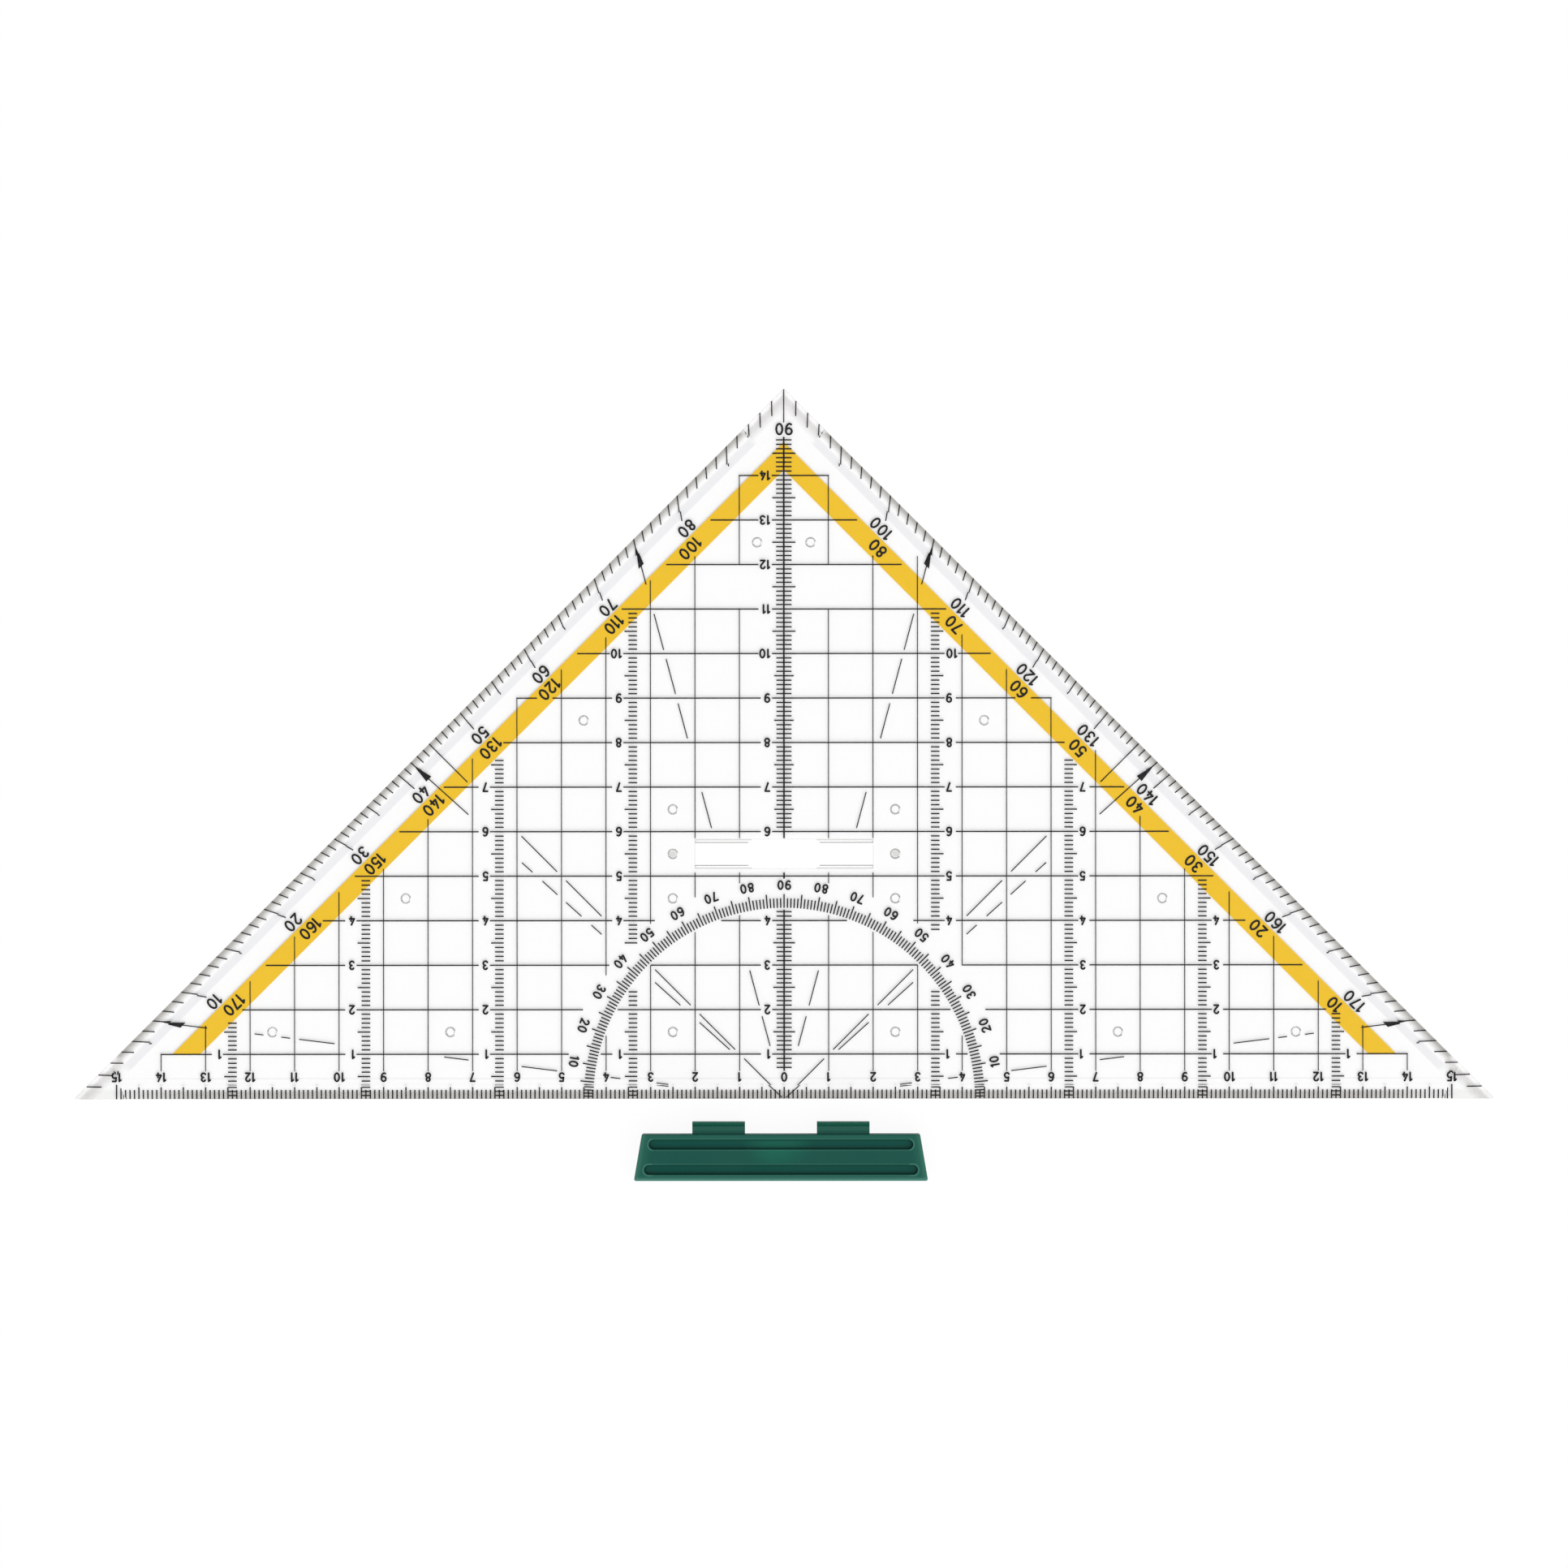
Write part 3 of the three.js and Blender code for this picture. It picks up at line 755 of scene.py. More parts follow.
def cap(end, way, radius):
    """Points between the two corners of a stroke's round end."""
    first = math.degrees(math.atan2(way.y, way.x)) - 90
    return arc(end, (radius, radius), first, first + 180, CAP_STEPS)[1:-1]


def ribbon(run, width):
    """Outlines that cover a pen stroke: one with round ends, or one for each stretch of a closed stroke."""
    half = width / 2
    closed = (run[0] - run[-1]).length < half / 10
    ahead = [(b - a).normalized() for a, b in zip(run, run[1:])]
    ways = [ahead[0], *ahead] if not closed else [ahead[-1], *ahead]
    ways = [(a + b).normalized() for a, b in zip(ways, [*ahead, ahead[0] if closed else ahead[-1]])]
    left = [point + Vector((-way.y, way.x)) * half for point, way in zip(run, ways)]
    right = [point - Vector((-way.y, way.x)) * half for point, way in zip(run, ways)]
    if closed:
        return [[right[i], right[i + 1], left[i + 1], left[i]] for i in range(len(run) - 1)]
    return [right + cap(run[-1], ways[-1], half) + left[::-1] + cap(run[0], -ways[0], half)]


def numeral_meshes(pen):
    """Thin solids of the ten numerals, one unit high and one unit thick, however wide the pen."""
    wider = (PRINT_WIDTH - pen) / (DRAWN_WIDTH - DRAWN_PEN)
    taller = (1 - pen) / (1 - DRAWN_PEN)
    meshes = []
    for strokes in glyph_strokes():
        outlines = []
        for stroke in strokes:
            fitted = [Vector((point.x * wider, 0.5 + (point.y - 0.5) * taller)) for point in stroke]
            for run in smooth_runs(fitted):
                outlines += ribbon(run, pen)
        meshes.append(printed_mesh(outlines, 1.0))
    return meshes


# Geometry trees

# Kinds of the inputs that are no plain numbers
SOCKET_KINDS = {
    "Geometry": "Geometry", "First": "Int", "Last": "Int", "Numerals": "Collection", "Material": "Material",
}
STROKE_INPUTS = ("First", "Last", "Short", "Middle", "Long", "Width")


def new_tree(name, *inputs):
    """The graph of an empty geometry tree with these named inputs, and a link to each of them."""
    tree = bpy.data.node_groups.new(name, "GeometryNodeTree")
    tree.is_modifier = True
    inputs = ("Geometry", *inputs, "Thickness", "Material")
    for socket_name in inputs:
        kind = "NodeSocket" + SOCKET_KINDS.get(socket_name, "Float")
        tree.interface.new_socket(socket_name, in_out="INPUT", socket_type=kind)
    tree.interface.new_socket("Geometry", in_out="OUTPUT", socket_type="NodeSocketGeometry")
    graph = Graph(tree)
    entry = graph.add("NodeGroupInput")
    return graph, {socket_name: entry.other(socket_name) for socket_name in inputs}


def finished_tree(graph, given, points, instance, more):
    """The tree, ended with an instance on each point, all of them one mesh of one material.

    more has the other inputs of the node that sets the instances on the points.
    """
    placed = graph.add("GeometryNodeInstanceOnPoints", {"Points": points, "Instance": instance, **more})
    real = graph.add("GeometryNodeRealizeInstances", {"Geometry": placed})
    inked = graph.add("GeometryNodeSetMaterial", {"Geometry": real, "Material": given["Material"]})
    graph.end("NodeGroupOutput", {"Geometry": inked})
    return graph.tree


def stroke_points(graph, given, offset):
    """A point for each stroke from First to Last, its number, and its length by fives and tens."""
    points = graph.add("GeometryNodeMeshLine", {
        "Count": given["Last"] - given["First"] + 1.0, "Start Location": (0, 0, 0), "Offset": offset,
    }, mode="OFFSET")
    number = graph.add("GeometryNodeInputIndex") + given["First"]
    fives = number.math("FLOORED_MODULO", 5.0).math("LESS_THAN", 0.5)
    tens = number.math("FLOORED_MODULO", 10.0).math("LESS_THAN", 0.5)
    short, middle, long = given["Short"], given["Middle"], given["Long"]
    length = short + (middle - short) * fives + (long - middle) * tens
    return points, number, length


def block(graph, shift):
    """Unit block to stretch into strokes. It hangs below height 0 and is moved by shift."""
    cube = graph.add("GeometryNodeMeshCube", {"Size": (1, 1, 1)})
    return graph.add("GeometryNodeTransform", {"Geometry": cube, "Translation": shift})


def straight_tree():
    """Strokes square to a line, a pitch apart. Centred is 1 for strokes that cross the line."""
    graph, given = new_tree("straight_strokes", *STROKE_INPUTS, "Pitch", "Centred")
    points, _, length = stroke_points(graph, given, graph.xyz(X=given["Pitch"]))
    start = graph.xyz(X=given["Pitch"] * given["First"])
    placed = graph.add("GeometryNodeSetPosition", {"Geometry": points, "Offset": start})
    shift = graph.xyz(Y=0.5 - given["Centred"] * 0.5, Z=-0.5)
    size = graph.xyz(X=given["Width"], Y=length, Z=given["Thickness"])
    return finished_tree(graph, given, placed, block(graph, shift), {"Scale": size})


def degree_tree():
    """Strokes on rays from the zero mark, a degree apart. They start at Radius, or with On Edge at 1 they
    end at the short edges and reach inwards by their length, square to the edge."""
    graph, given = new_tree("degree_strokes", *STROKE_INPUTS, "Radius", "Edge Reach", "On Edge")
    points, number, length = stroke_points(graph, given, (0, 0, 0))
    angle = number * math.radians(1)
    east = angle.math("COSINE")
    north = angle.math("SINE")
    spread = abs(east) + north
    slant = length * math.sqrt(2) / spread
    edge_start = given["Edge Reach"] / spread - slant
    start = given["Radius"] + (edge_start - given["Radius"]) * given["On Edge"]
    reach = length + (slant - length) * given["On Edge"]
    place = graph.xyz(X=east * start, Y=north * start)
    placed = graph.add("GeometryNodeSetPosition", {"Geometry": points, "Position": place})
    size = graph.xyz(X=reach, Y=given["Width"], Z=given["Thickness"])
    stroke = block(graph, (0.5, 0, -0.5))
    return finished_tree(graph, given, placed, stroke, {"Scale": size, "Rotation": graph.xyz(Z=angle)})


# What each point of a number carries
NUMERAL_COLUMNS = (("numeral", "INT"), ("turn", "FLOAT"), ("height", "FLOAT"))


def number_tree():
    """Sets a numeral of the collection on each point, by the point's numeral, turn and height."""
    graph, given = new_tree("set_numbers", "Numerals")
    numerals = graph.add("GeometryNodeCollectionInfo", {
        "Collection": given["Numerals"], "Separate Children": True, "Reset Children": True,
    })
    numeral, turn, height = (
        graph.add("GeometryNodeInputNamedAttribute", {"Name": name}, data_type=kind)
        for name, kind in NUMERAL_COLUMNS
    )
    return finished_tree(graph, given, given["Geometry"], numerals, {
        "Pick Instance": True, "Instance Index": numeral, "Rotation": graph.xyz(Z=turn),
        "Scale": graph.xyz(X=height, Y=height, Z=given["Thickness"]),
    })


def grown(tree, values, mesh=None):
    """The plain mesh that a tree makes with these inputs, from a starting mesh where it needs one."""
    carrier = new_object("carrier", mesh or bpy.data.meshes.new("carrier"))
    modifier = carrier.modifiers.new("strokes", "NODES")
    modifier.node_group = tree
    for item in tree.interface.items_tree:
        if item.name in values:
            modifier[item.identifier] = values[item.name]
    graph = bpy.context.evaluated_depsgraph_get()
    made = bpy.data.meshes.new_from_object(carrier.evaluated_get(graph), depsgraph=graph)
    bpy.data.objects.remove(carrier)
    return made


# Straight scales

BASE_LENGTHS = (2.38 * MM, 3.06 * MM, 3.06 * MM)
BASE_END = 150
BASE_END_LENGTH = 3.2 * MM
# Stretches of the middle scale, each with the lengths of its strokes and of its fifth ones
CENTRE_STRETCHES = ((7, 42, 3.4 * MM, 4.9 * MM), (60, 99, 3.4 * MM, 4.4 * MM), (100, 148, 3.5 * MM, 5.2 * MM))
SIDE_LENGTHS = (1.95 * MM, 2.83 * MM, 1.95 * MM)
# Distance of each side scale from the middle, and its stretches in millimetres on the left and right
SIDE_SCALES = (
    (33, ((1, 24), (35, 109)), ((1, 24), (38, 109))),
    (63, ((1, 76),), ((1, 76),)),
    (93, ((1, 49),), ((1, 49),)),
    (123, ((1, 17),), ((1, 19),)),
)


def stretch(tree, first, last, lengths, width, place, more):
    """One stretch of a scale. more has the other inputs of its tree."""
    short, middle, long = lengths
    made = grown(tree, {
        "First": first, "Last": last, "Short": short, "Middle": middle, "Long": long,
        "Width": width, "Thickness": INK_THICKNESS, "Material": black_ink(), **more,
    })
    made.transform(place)
    return made


def straight_strokes(tree, first, last, lengths, place, centred=0.0):
    """One stretch of a millimetre scale."""
    width = bpy.context.scene.set_square_ink.tick_width
    return stretch(tree, first, last, lengths, width, place, {"Pitch": 1 * MM, "Centred": centred})


def base_scale(tree):
    strokes = [straight_strokes(tree, 1 - BASE_END, BASE_END - 1, BASE_LENGTHS, at_print())]
    for end in (-BASE_END, BASE_END):
        strokes.append(straight_strokes(tree, end, end, (BASE_END_LENGTH,) * 3, at_print()))
    return joined(strokes)


def centre_scale(tree):
    upright = at_print(degrees=90)
    return joined([
        straight_strokes(tree, first, last, (short, long, long), upright, 1.0)
        for first, last, short, long in CENTRE_STRETCHES
    ])


def side_scales(tree):
    strokes = []
    for across, left, right in SIDE_SCALES:
        upright = at_print(-across * MM, 90)
        strokes += [straight_strokes(tree, first, last, SIDE_LENGTHS, upright) for first, last in left]
        falling = at_print(across * MM, -90)
        strokes += [straight_strokes(tree, -last, -first, SIDE_LENGTHS, falling) for first, last in right]
    return joined(strokes)


class SETSQUARE_OT_straight_scales(bpy.types.Operator):
    """Print the millimetre scales: along the long edge, up the middle and up both sides"""

    bl_idname = "set_square.straight_scales"
    bl_label = "Millimetre scales"

    def execute(self, context):
        tree = straight_tree()
        scales = {"base_scale": base_scale, "centre_scale": centre_scale, "side_scales": side_scales}
        for name, scale in scales.items():
            mesh_object(name, scale(tree))
        return {"FINISHED"}


# Protractor

ARC_RADIUS = 42.87 * MM
ARC_LENGTHS = (2.15 * MM, 3.08 * MM, 3.08 * MM)
EDGE_LENGTHS = (2.42 * MM, 3.5 * MM, 4.8 * MM)
EDGE_CLEARANCE = 0.05 * MM


def degree_strokes(tree, first, last, lengths, width, radius, on_edge):
    """One stretch of a degree scale."""
    more = {"Radius": radius, "On Edge": on_edge, "Edge Reach": EDGE_REACH - EDGE_CLEARANCE}
    return stretch(tree, first, last, lengths, width, at_print(), more)


class SETSQUARE_OT_protractor(bpy.types.Operator):
    """Print the degree scales: the arc round the zero mark and the rays along the short edges"""

    bl_idname = "set_square.protractor"
    bl_label = "Degree scales"

    def execute(self, context):
        tree = degree_tree()
        settings = context.scene.set_square_ink
        arc_strokes = degree_strokes(tree, 1, 179, ARC_LENGTHS, settings.arc_width, ARC_RADIUS, 0.0)
        mesh_object("arc_scale", arc_strokes)
        for side, first, last in (("right", 1, 89), ("left", 91, 179)):
            strokes = degree_strokes(tree, first, last, EDGE_LENGTHS, settings.degree_width, 0.0, 1.0)
            mesh_object("edge_scale_" + side, strokes)
        return {"FINISHED"}


# Guide lines

# Dashes of the fixed angles. Each has its near and far distance in millimetres, measured across from the
# middle for an angle up to 45 and up from the long edge for the steep one.
DASHES = {
    7: ((26, 28.7), (36.8, 39), (51, 59), (70.9, 76.4), (101, 109), (111, 113), (117, 119)),
    42: ((12.2, 19), (23.3, 29), (41, 43.3), (45.5, 49), (50.9, 54.3), (56.5, 58.9)),
    45: ((0.4, 9), (11, 19), (21, 29), (41, 49), (51, 59)),
    75: ((11.8, 18.5), (20.9, 28.8), (60.8, 68.9), (80.9, 88.8), (90.9, 98.8), (100.8, 108.9)),
}
# Arrows on those angles, each with the distance of its tail's end from the zero mark in millimetres
ARROWS = ((7, 130.6), (42, 95.4), (75, 119.6))
# Depth of the heads' tips and backs from the short edge, and the width of the backs, which lie along it
ARROW_TIP_DEPTH = 1.95 * MM
ARROW_BACK_DEPTH = 5.55 * MM
ARROW_TIP_WIDTH = 0.3 * MM
ARROW_WIDTH = 1.62 * MM
HALF_RAY_FOOT = 100.6 * MM
APEX_LINE_FOOT = 151.9 * MM


def guide_dashes(width):
    """Outlines of the dashes on the right, as straight bars."""
    bars = []
    for degrees, dashes in DASHES.items():
        slope = math.tan(math.radians(degrees))
        across, up = (1, slope) if degrees <= 45 else (1 / slope, 1)
        for ends in dashes:
            start, end = ((place * MM * across, place * MM * up) for place in ends)
            bars.append(bar(start, end, width))
    return bars


def guide_arrows(width):
    """Outlines of the arrows on the right, with the rays that carry them to the edge."""
    outlines = []
    along = Vector((-1, 1)).normalized() / 2
    for degrees, tail in ARROWS:
        ray_end = on_ray(degrees, edge_radius(degrees) - EDGE_CLEARANCE)
        outlines.append(bar(on_ray(degrees, tail * MM), ray_end, width))
        tip, back = below_edge(degrees, ARROW_TIP_DEPTH), below_edge(degrees, ARROW_BACK_DEPTH)
        near, far = along * ARROW_TIP_WIDTH, along * ARROW_WIDTH
        outlines.append([back - far, tip - near, tip + near, back + far])
    outlines.append(bar(on_ray(45, HALF_RAY_FOOT), on_ray(45, edge_radius(45) - EDGE_CLEARANCE), width))
    return outlines


def mirrored(outlines):
    """Outlines on the right, and their likes on the left."""
    left = [[Vector((-point.x, point.y)) for point in reversed(outline)] for outline in outlines]
    return outlines + left


class SETSQUARE_OT_guides(bpy.types.Operator):
    """Print the dashed guide lines of the fixed angles, their arrows and the line at the right angle"""

    bl_idname = "set_square.guides"
    bl_label = "Guide lines"

    def execute(self, context):
        width = context.scene.set_square_ink.line_width
        apex_line = bar((0, APEX_LINE_FOOT), (0, EDGE_REACH - 3 * EDGE_CLEARANCE), width)
        groups = {
            "guide_dashes": mirrored(guide_dashes(width)),
            "guide_arrows": mirrored(guide_arrows(width)) + [apex_line],
        }
        for name, outlines in groups.items():
            mesh = printed_mesh(outlines, INK_THICKNESS)
            mesh.transform(at_print())
            mesh_object(name, mesh)
        return {"FINISHED"}


# Numbers

# Room that each numeral takes in a row, as a share of its height
NUMERAL_STEPS = (0.80, 0.44, 0.72, 0.74, 0.70, 0.68, 0.71, 0.70, 0.74, 0.71)
BASE_NUMBER_UP = 4.87 * MM
# Distance of a one-figure number's middle from the middle scale and from a side scale. The numbers' ends that
# face the scale are in line.
CENTRE_NUMBER_OUT = 3.75 * MM
SIDE_NUMBER_OUT = 4.1 * MM
HALF_NUMERAL = 0.8 * MM
# Numbers whose distances across and up add up to this much would lie on the yellow band and are left out. So
# are those by the arc and the one in the window.
BAND_REACH = 141.25 * MM
ARC_CLEAR = (42 * MM, 49.4 * MM)
WINDOW_ROW = 5
ARC_NUMBER_RADIUS = 47.97 * MM
# Depth of each row of numbers from the short edge, and the depth at which the rays give their places
EDGE_NUMBER_ROWS = ((6.78 * MM, 5.49 * MM), (10.46 * MM, 9.23 * MM))
APEX_NUMBER_UP = 150.43 * MM
HALF_TURN = math.pi


def steps_of(text):
    return [NUMERAL_STEPS[int(numeral)] for numeral in text]


def numeral_places(text, centre, height, turn=HALF_TURN):
    """Place, numeral, turn and height of each numeral of a number, which is centred on a point."""
    steps = steps_of(text)
    reading = Vector((math.cos(turn), math.sin(turn)))
    rising = Vector((-reading.y, reading.x))
    pen = centre - reading * height * sum(steps) / 2 - rising * height / 2
    places = []
    for numeral, step in zip(text, steps):
        pen += reading * height * step / 2
        places.append((pen.copy(), int(numeral), turn, height))
        pen += reading * height * step / 2
    return places


def centimetre_places(height):
    """Numbers of the long edge, the middle scale and the side scales."""
    places = []
    for centimetre in range(-15, 16):
        centre = Vector((centimetre * PITCH, BASE_NUMBER_UP))
        places += numeral_places(str(abs(centimetre)), centre, height)
    for row in range(1, 15):
        text = str(row)
        wider = height * sum(steps_of(text)) / 2 - HALF_NUMERAL
        if row != WINDOW_ROW:
            centre = Vector((-CENTRE_NUMBER_OUT - wider, row * PITCH))
            places += numeral_places(text, centre, height)
        for across, _, _ in SIDE_SCALES:
            out = across * MM + SIDE_NUMBER_OUT
            radius = math.hypot(out, row * PITCH)
            if out + row * PITCH < BAND_REACH and not ARC_CLEAR[0] < radius < ARC_CLEAR[1]:
                for side in (-1, 1):
                    centre = Vector((side * (out + wider), row * PITCH))
                    places += numeral_places(text, centre, height)
    return places


def arc_places(height):
    """Numbers round the arc, read from the long edge's side."""
    places = []
    for degrees in range(10, 180, 10):
        text = str(min(degrees, 180 - degrees))
        centre = on_ray(degrees, ARC_NUMBER_RADIUS)
        places += numeral_places(text, centre, height, math.radians(degrees + 90))
    return places


def edge_places(height):
    """The two rows of numbers along each short edge, and the right angle's number."""
    places = numeral_places("90", Vector((0, APEX_NUMBER_UP)), height)
    for degrees in range(10, 180, 10):
        if degrees == 90:
            continue
        small, large = sorted((degrees, 180 - degrees))
        right = degrees < 90
        texts = (large, small) if right else (small, large)
        turn = math.radians(135 if right else 225)
        inwards = Vector((-1 if right else 1, -1)) / math.sqrt(2)
        for (depth, ray_depth), text in zip(EDGE_NUMBER_ROWS, texts):
            centre = below_edge(degrees, ray_depth) + inwards * (depth - ray_depth)
            places += numeral_places(str(text), centre, height, turn)
    return places


def numbers_mesh(tree, numerals, places):
    """Sets the numerals on their places and returns the plain mesh."""
    points = bpy.data.meshes.new("places")
    points.from_pydata([(*place, 0.0) for place, _, _, _ in places], [], [])
    for column, (name, kind) in enumerate(NUMERAL_COLUMNS, start=1):
        attribute = points.attributes.new(name, kind, "POINT")
        attribute.data.foreach_set("value", [place[column] for place in places])
    made = grown(tree, {"Numerals": numerals, "Thickness": INK_THICKNESS, "Material": black_ink()}, points)
    made.transform(at_print())
    return made


class SETSQUARE_OT_numbers(bpy.types.Operator):
    """Print the numbers of all the scales"""

    bl_idname = "set_square.numbers"
    bl_label = "Numbers"

    def execute(self, context):
        settings = context.scene.set_square_ink
        tree = number_tree()
        groups = (
            ("centimetre_numbers", centimetre_places, settings.number_height, settings.number_pen),
            ("arc_numbers", arc_places, settings.arc_number_height, settings.number_pen),
            ("edge_numbers", edge_places, settings.edge_number_height, settings.edge_pen),
        )
        for name, places, height, pen in groups:
            numerals = bpy.data.collections.new("numerals")
            context.scene.collection.children.link(numerals)
            for i, mesh in enumerate(numeral_meshes(pen / height)):
                numerals.objects.link(bpy.data.objects.new(f"numeral_{i}", mesh))
            mesh_object(name, numbers_mesh(tree, numerals, places(height)))
            for numeral in list(numerals.objects):
                bpy.data.objects.remove(numeral)
            bpy.data.collections.remove(numerals)
        return {"FINISHED"}


# Feet

# Places of the feet right of the middle, in centimetres
FEET = (
    (0.6, 12.5), (4.5, 8.5), (2.5, 6.5), (2.5, 5.5), (8.5, 4.5), (2.5, 4.5),
    (2.5, 1.5), (7.5, 1.5), (11.5, 1.5),
)
FOOT_RIM_RADIUS = 1.08 * MM
FOOT_RIM_THICKNESS = 0.23 * MM
FOOT_RIM_UP = 0.3 * MM
# Steps round the foot and round the rim's own section
FOOT_RIM_STEPS = (28, 6)


def ring_tree():
    """Rings on the points of a mesh. Each keeps the way that it faces from its middle."""
    graph, given = new_tree("rings", "Radius")
    run, profile = (
        graph.add("GeometryNodeCurvePrimitiveCircle", {"Resolution": count, "Radius": radius}, mode="RADIUS")
        for count, radius in zip(FOOT_RIM_STEPS, (given["Radius"], given["Thickness"] * 0.5))
    )
    ring = graph.add("GeometryNodeCurveToMesh", {"Curve": run, "Profile Curve": profile})
    place = graph.add("GeometryNodeInputPosition")
    way = graph.add("ShaderNodeVectorMath", {0: place}, operation="NORMALIZE")
    named = {"Geometry": ring, "Name": RIM_WAY, "Value": way}
    ring = graph.add("GeometryNodeStoreNamedAttribute", named, data_type="FLOAT_VECTOR", domain="POINT")
    return finished_tree(graph, given, given["Geometry"], ring, {})


class SETSQUARE_OT_feet(bpy.types.Operator):
    """Round the rims of the low feet"""

    bl_idname = "set_square.feet"
    bl_label = "Foot rims"

    def execute(self, context):
        level = PLATE_LOW.z + FOOT_RIM_UP
        places = bpy.data.meshes.new("feet")
        corners = [(side * x * PITCH, y * PITCH, level) for x, y in FEET for side in (-1, 1)]
        places.from_pydata(corners, [], [])
        plastic = foot_plastic(context.scene.set_square_plate)
        rims = grown(ring_tree(), {
            "Radius": FOOT_RIM_RADIUS, "Thickness": FOOT_RIM_THICKNESS, "Material": plastic,
        }, places)
        mesh_object("foot_rims", rims, plastic)
        return {"FINISHED"}


# Frame pieces

class SETSQUARE_OT_plate(bpy.types.Operator):
    """Finish the clear plate"""

    bl_idname = "set_square.plate"
    bl_label = "Clear plate"

    def execute(self, context):
        dress("plate", clear_plastic(context.scene.set_square_plate))
        return {"FINISHED"}


class SETSQUARE_OT_grid(bpy.types.Operator):
    """Ink the centimetre grid and the yellow band"""

    bl_idname = "set_square.grid"
    bl_label = "Grid and band"

    def execute(self, context):
        settings = context.scene.set_square_ink
        dress("yellow_band", ink("yellow_ink_print", tuple(settings.yellow), 0.05))
        for node in frame["nodes"]:
            if node.startswith("grid_print"):
                dress(node, black_ink())
        return {"FINISHED"}


class SETSQUARE_OT_grip(bpy.types.Operator):
    """Finish the green grip"""

    bl_idname = "set_square.grip"
    bl_label = "Grip"

    def execute(self, context):
        dress("handle", moulded_green(context.scene.set_square_grip))
        return {"FINISHED"}


# Stage

FLOOR_SIZE = 4.0
FLOOR_DROP = 0.05 * MM
KEY_WAY = Vector((0.15, -0.5, 0.85)).normalized()
KEY_FOCUS = 4.0
# Heights on the dome between which it darkens overhead, and how bright it is there
OVERHEAD = (0.955, 0.985)
OVERHEAD_SHARE = 0.25
# Share of plain white in the card, seen bare and seen through the plate
BARE_WHITE = 0.93
THROUGH_WHITE = 0.3


def floor_material(settings):
    """White card. Seen bare it is white with a faint shadow. Through the plate it shows most of its shadow.
    """
    material, graph = new_material("floor")
    card = graph.add("ShaderNodeBsdfDiffuse", {"Color": grey(settings.floor_level)})
    bright = graph.add("ShaderNodeEmission", {"Color": grey(1), "Strength": 1.0})
    rays = graph.add("ShaderNodeLightPath", output="Is Camera Ray")
    through = rays.other("Is Glossy Ray").math("MAXIMUM", rays.other("Is Transmission Ray")) * THROUGH_WHITE
    seen = (rays * BARE_WHITE).math("MAXIMUM", through)
    return finished(material, graph, graph.add("ShaderNodeMixShader", {0: seen, 1: card, 2: bright}))


def make_floor(settings):
    made = bmesh.new()
    bmesh.ops.create_grid(made, x_segments=1, y_segments=1, size=FLOOR_SIZE / 2)
    mesh = plain_mesh(made, "floor")
    mesh.transform(Matrix.Translation((0, 0, PLATE_LOW.z - FLOOR_DROP)))
    mesh.materials.append(floor_material(settings))
    floor = new_object("floor", mesh)


def make_world(settings):
    """Soft studio dome: a broad key light, fill from all round, and a darker patch overhead."""
    world = bpy.data.worlds.new("studio")
    world.use_nodes = True
    world.node_tree.nodes.clear()
    graph = Graph(world.node_tree)
    way = graph.add("ShaderNodeTexCoord", output="Generated")
    up = graph.add("ShaderNodeSeparateXYZ", {0: way}).other("Z")
    key = graph.facing(way, KEY_WAY).math("MAXIMUM", 0.0).math("POWER", KEY_FOCUS) * settings.light
    overhead = graph.smooth(up, *OVERHEAD, 1.0, OVERHEAD_SHARE)
    level = (key + settings.fill) * overhead
    seen = graph.add("ShaderNodeLightPath", output="Is Camera Ray")
    strength = level + (1.0 - level) * seen
    background = graph.add("ShaderNodeBackground", {"Color": grey(1), "Strength": strength})
    graph.end("ShaderNodeOutputWorld", {"Surface": background})
    bpy.context.scene.world = world


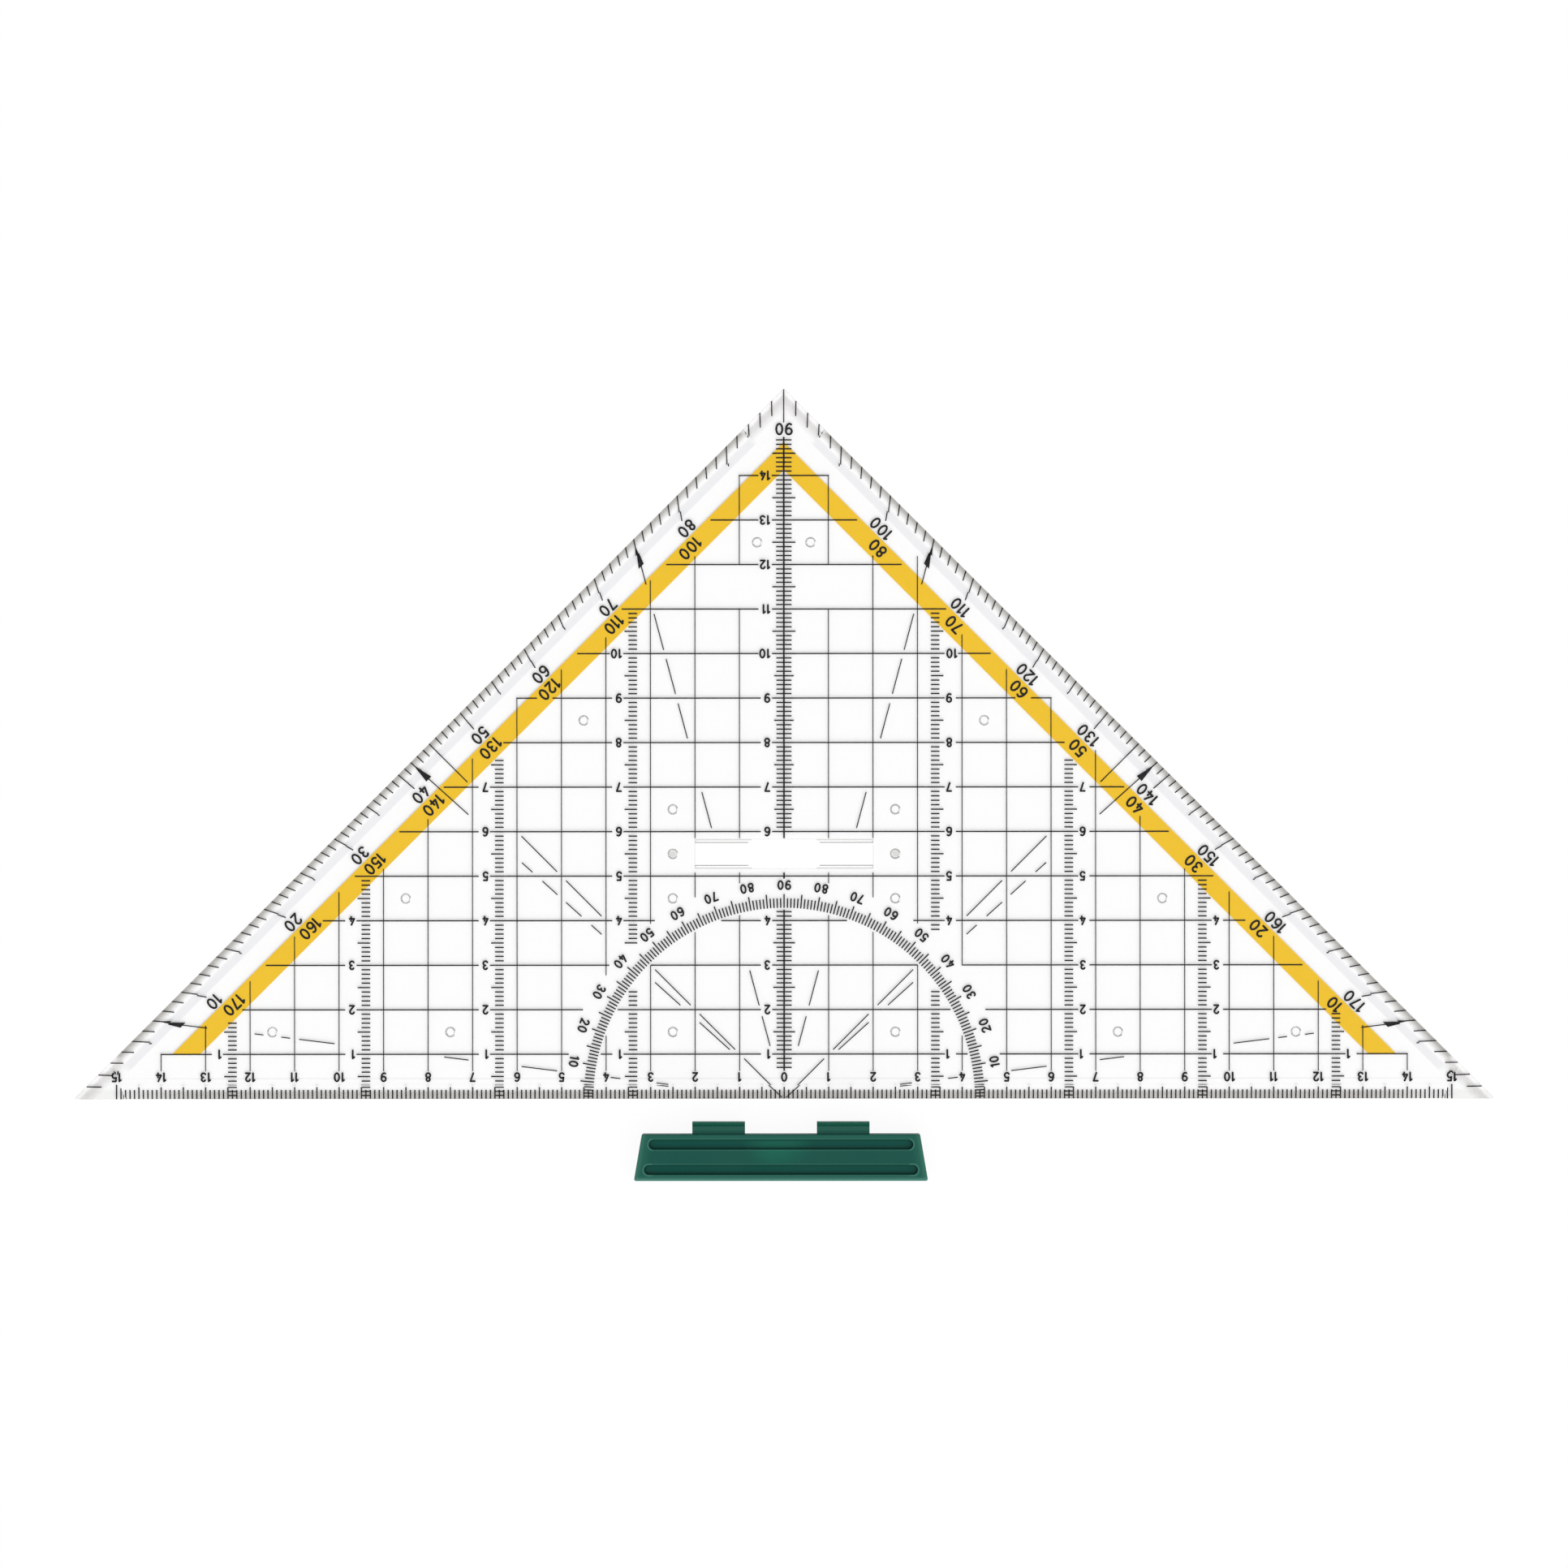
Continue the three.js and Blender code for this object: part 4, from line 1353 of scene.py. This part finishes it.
def make_camera(settings):
    data = bpy.data.cameras.new("camera")
    data.lens = settings.lens
    data.clip_end = 20.0
    distance = settings.view_width * data.lens / data.sensor_width
    camera = new_object("camera", data)
    camera.location = (0, settings.view_up, INK_TOP + distance)
    camera.rotation_euler.z = settings.tilt
    bpy.context.scene.camera = camera


class SETSQUARE_OT_stage(bpy.types.Operator):
    """Set up the floor, the light and the camera"""

    bl_idname = "set_square.stage"
    bl_label = "Stage"

    def execute(self, context):
        settings = context.scene.set_square_stage
        context.scene.view_settings.view_transform = "Standard"
        make_camera(settings)
        make_floor(settings)
        make_world(settings)
        return {"FINISHED"}


# Panel and registration

SETTINGS = {
    "set_square_plate": PlateSettings,
    "set_square_ink": InkSettings,
    "set_square_grip": GripSettings,
    "set_square_stage": StageSettings,
}
OPERATORS = (
    SETSQUARE_OT_stage, SETSQUARE_OT_plate, SETSQUARE_OT_grid, SETSQUARE_OT_straight_scales,
    SETSQUARE_OT_protractor, SETSQUARE_OT_guides, SETSQUARE_OT_numbers, SETSQUARE_OT_feet, SETSQUARE_OT_grip,
)


class SETSQUARE_PT_panel(bpy.types.Panel):
    """Lists the steps and their settings"""

    bl_label = "Set square"
    bl_idname = "SETSQUARE_PT_panel"
    bl_space_type = "VIEW_3D"
    bl_region_type = "UI"
    bl_category = "Set square"

    def draw(self, context):
        for operator in OPERATORS:
            self.layout.operator(operator.bl_idname)
        for name, group in SETTINGS.items():
            box = self.layout.box()
            for setting in group.__annotations__:
                box.prop(getattr(context.scene, name), setting)


CLASSES = (*SETTINGS.values(), *OPERATORS, SETSQUARE_PT_panel)


def register():
    for made in CLASSES:
        bpy.utils.register_class(made)
    for name, group in SETTINGS.items():
        setattr(bpy.types.Scene, name, PointerProperty(type=group))


def unregister():
    for name in SETTINGS:
        delattr(bpy.types.Scene, name)
    for made in reversed(CLASSES):
        bpy.utils.unregister_class(made)


def main():
    """Makes the whole scene."""
    register()
    for operator in OPERATORS:
        group, name = operator.bl_idname.split(".")
        getattr(getattr(bpy.ops, group), name)()


if __name__ == "__main__":
    main()
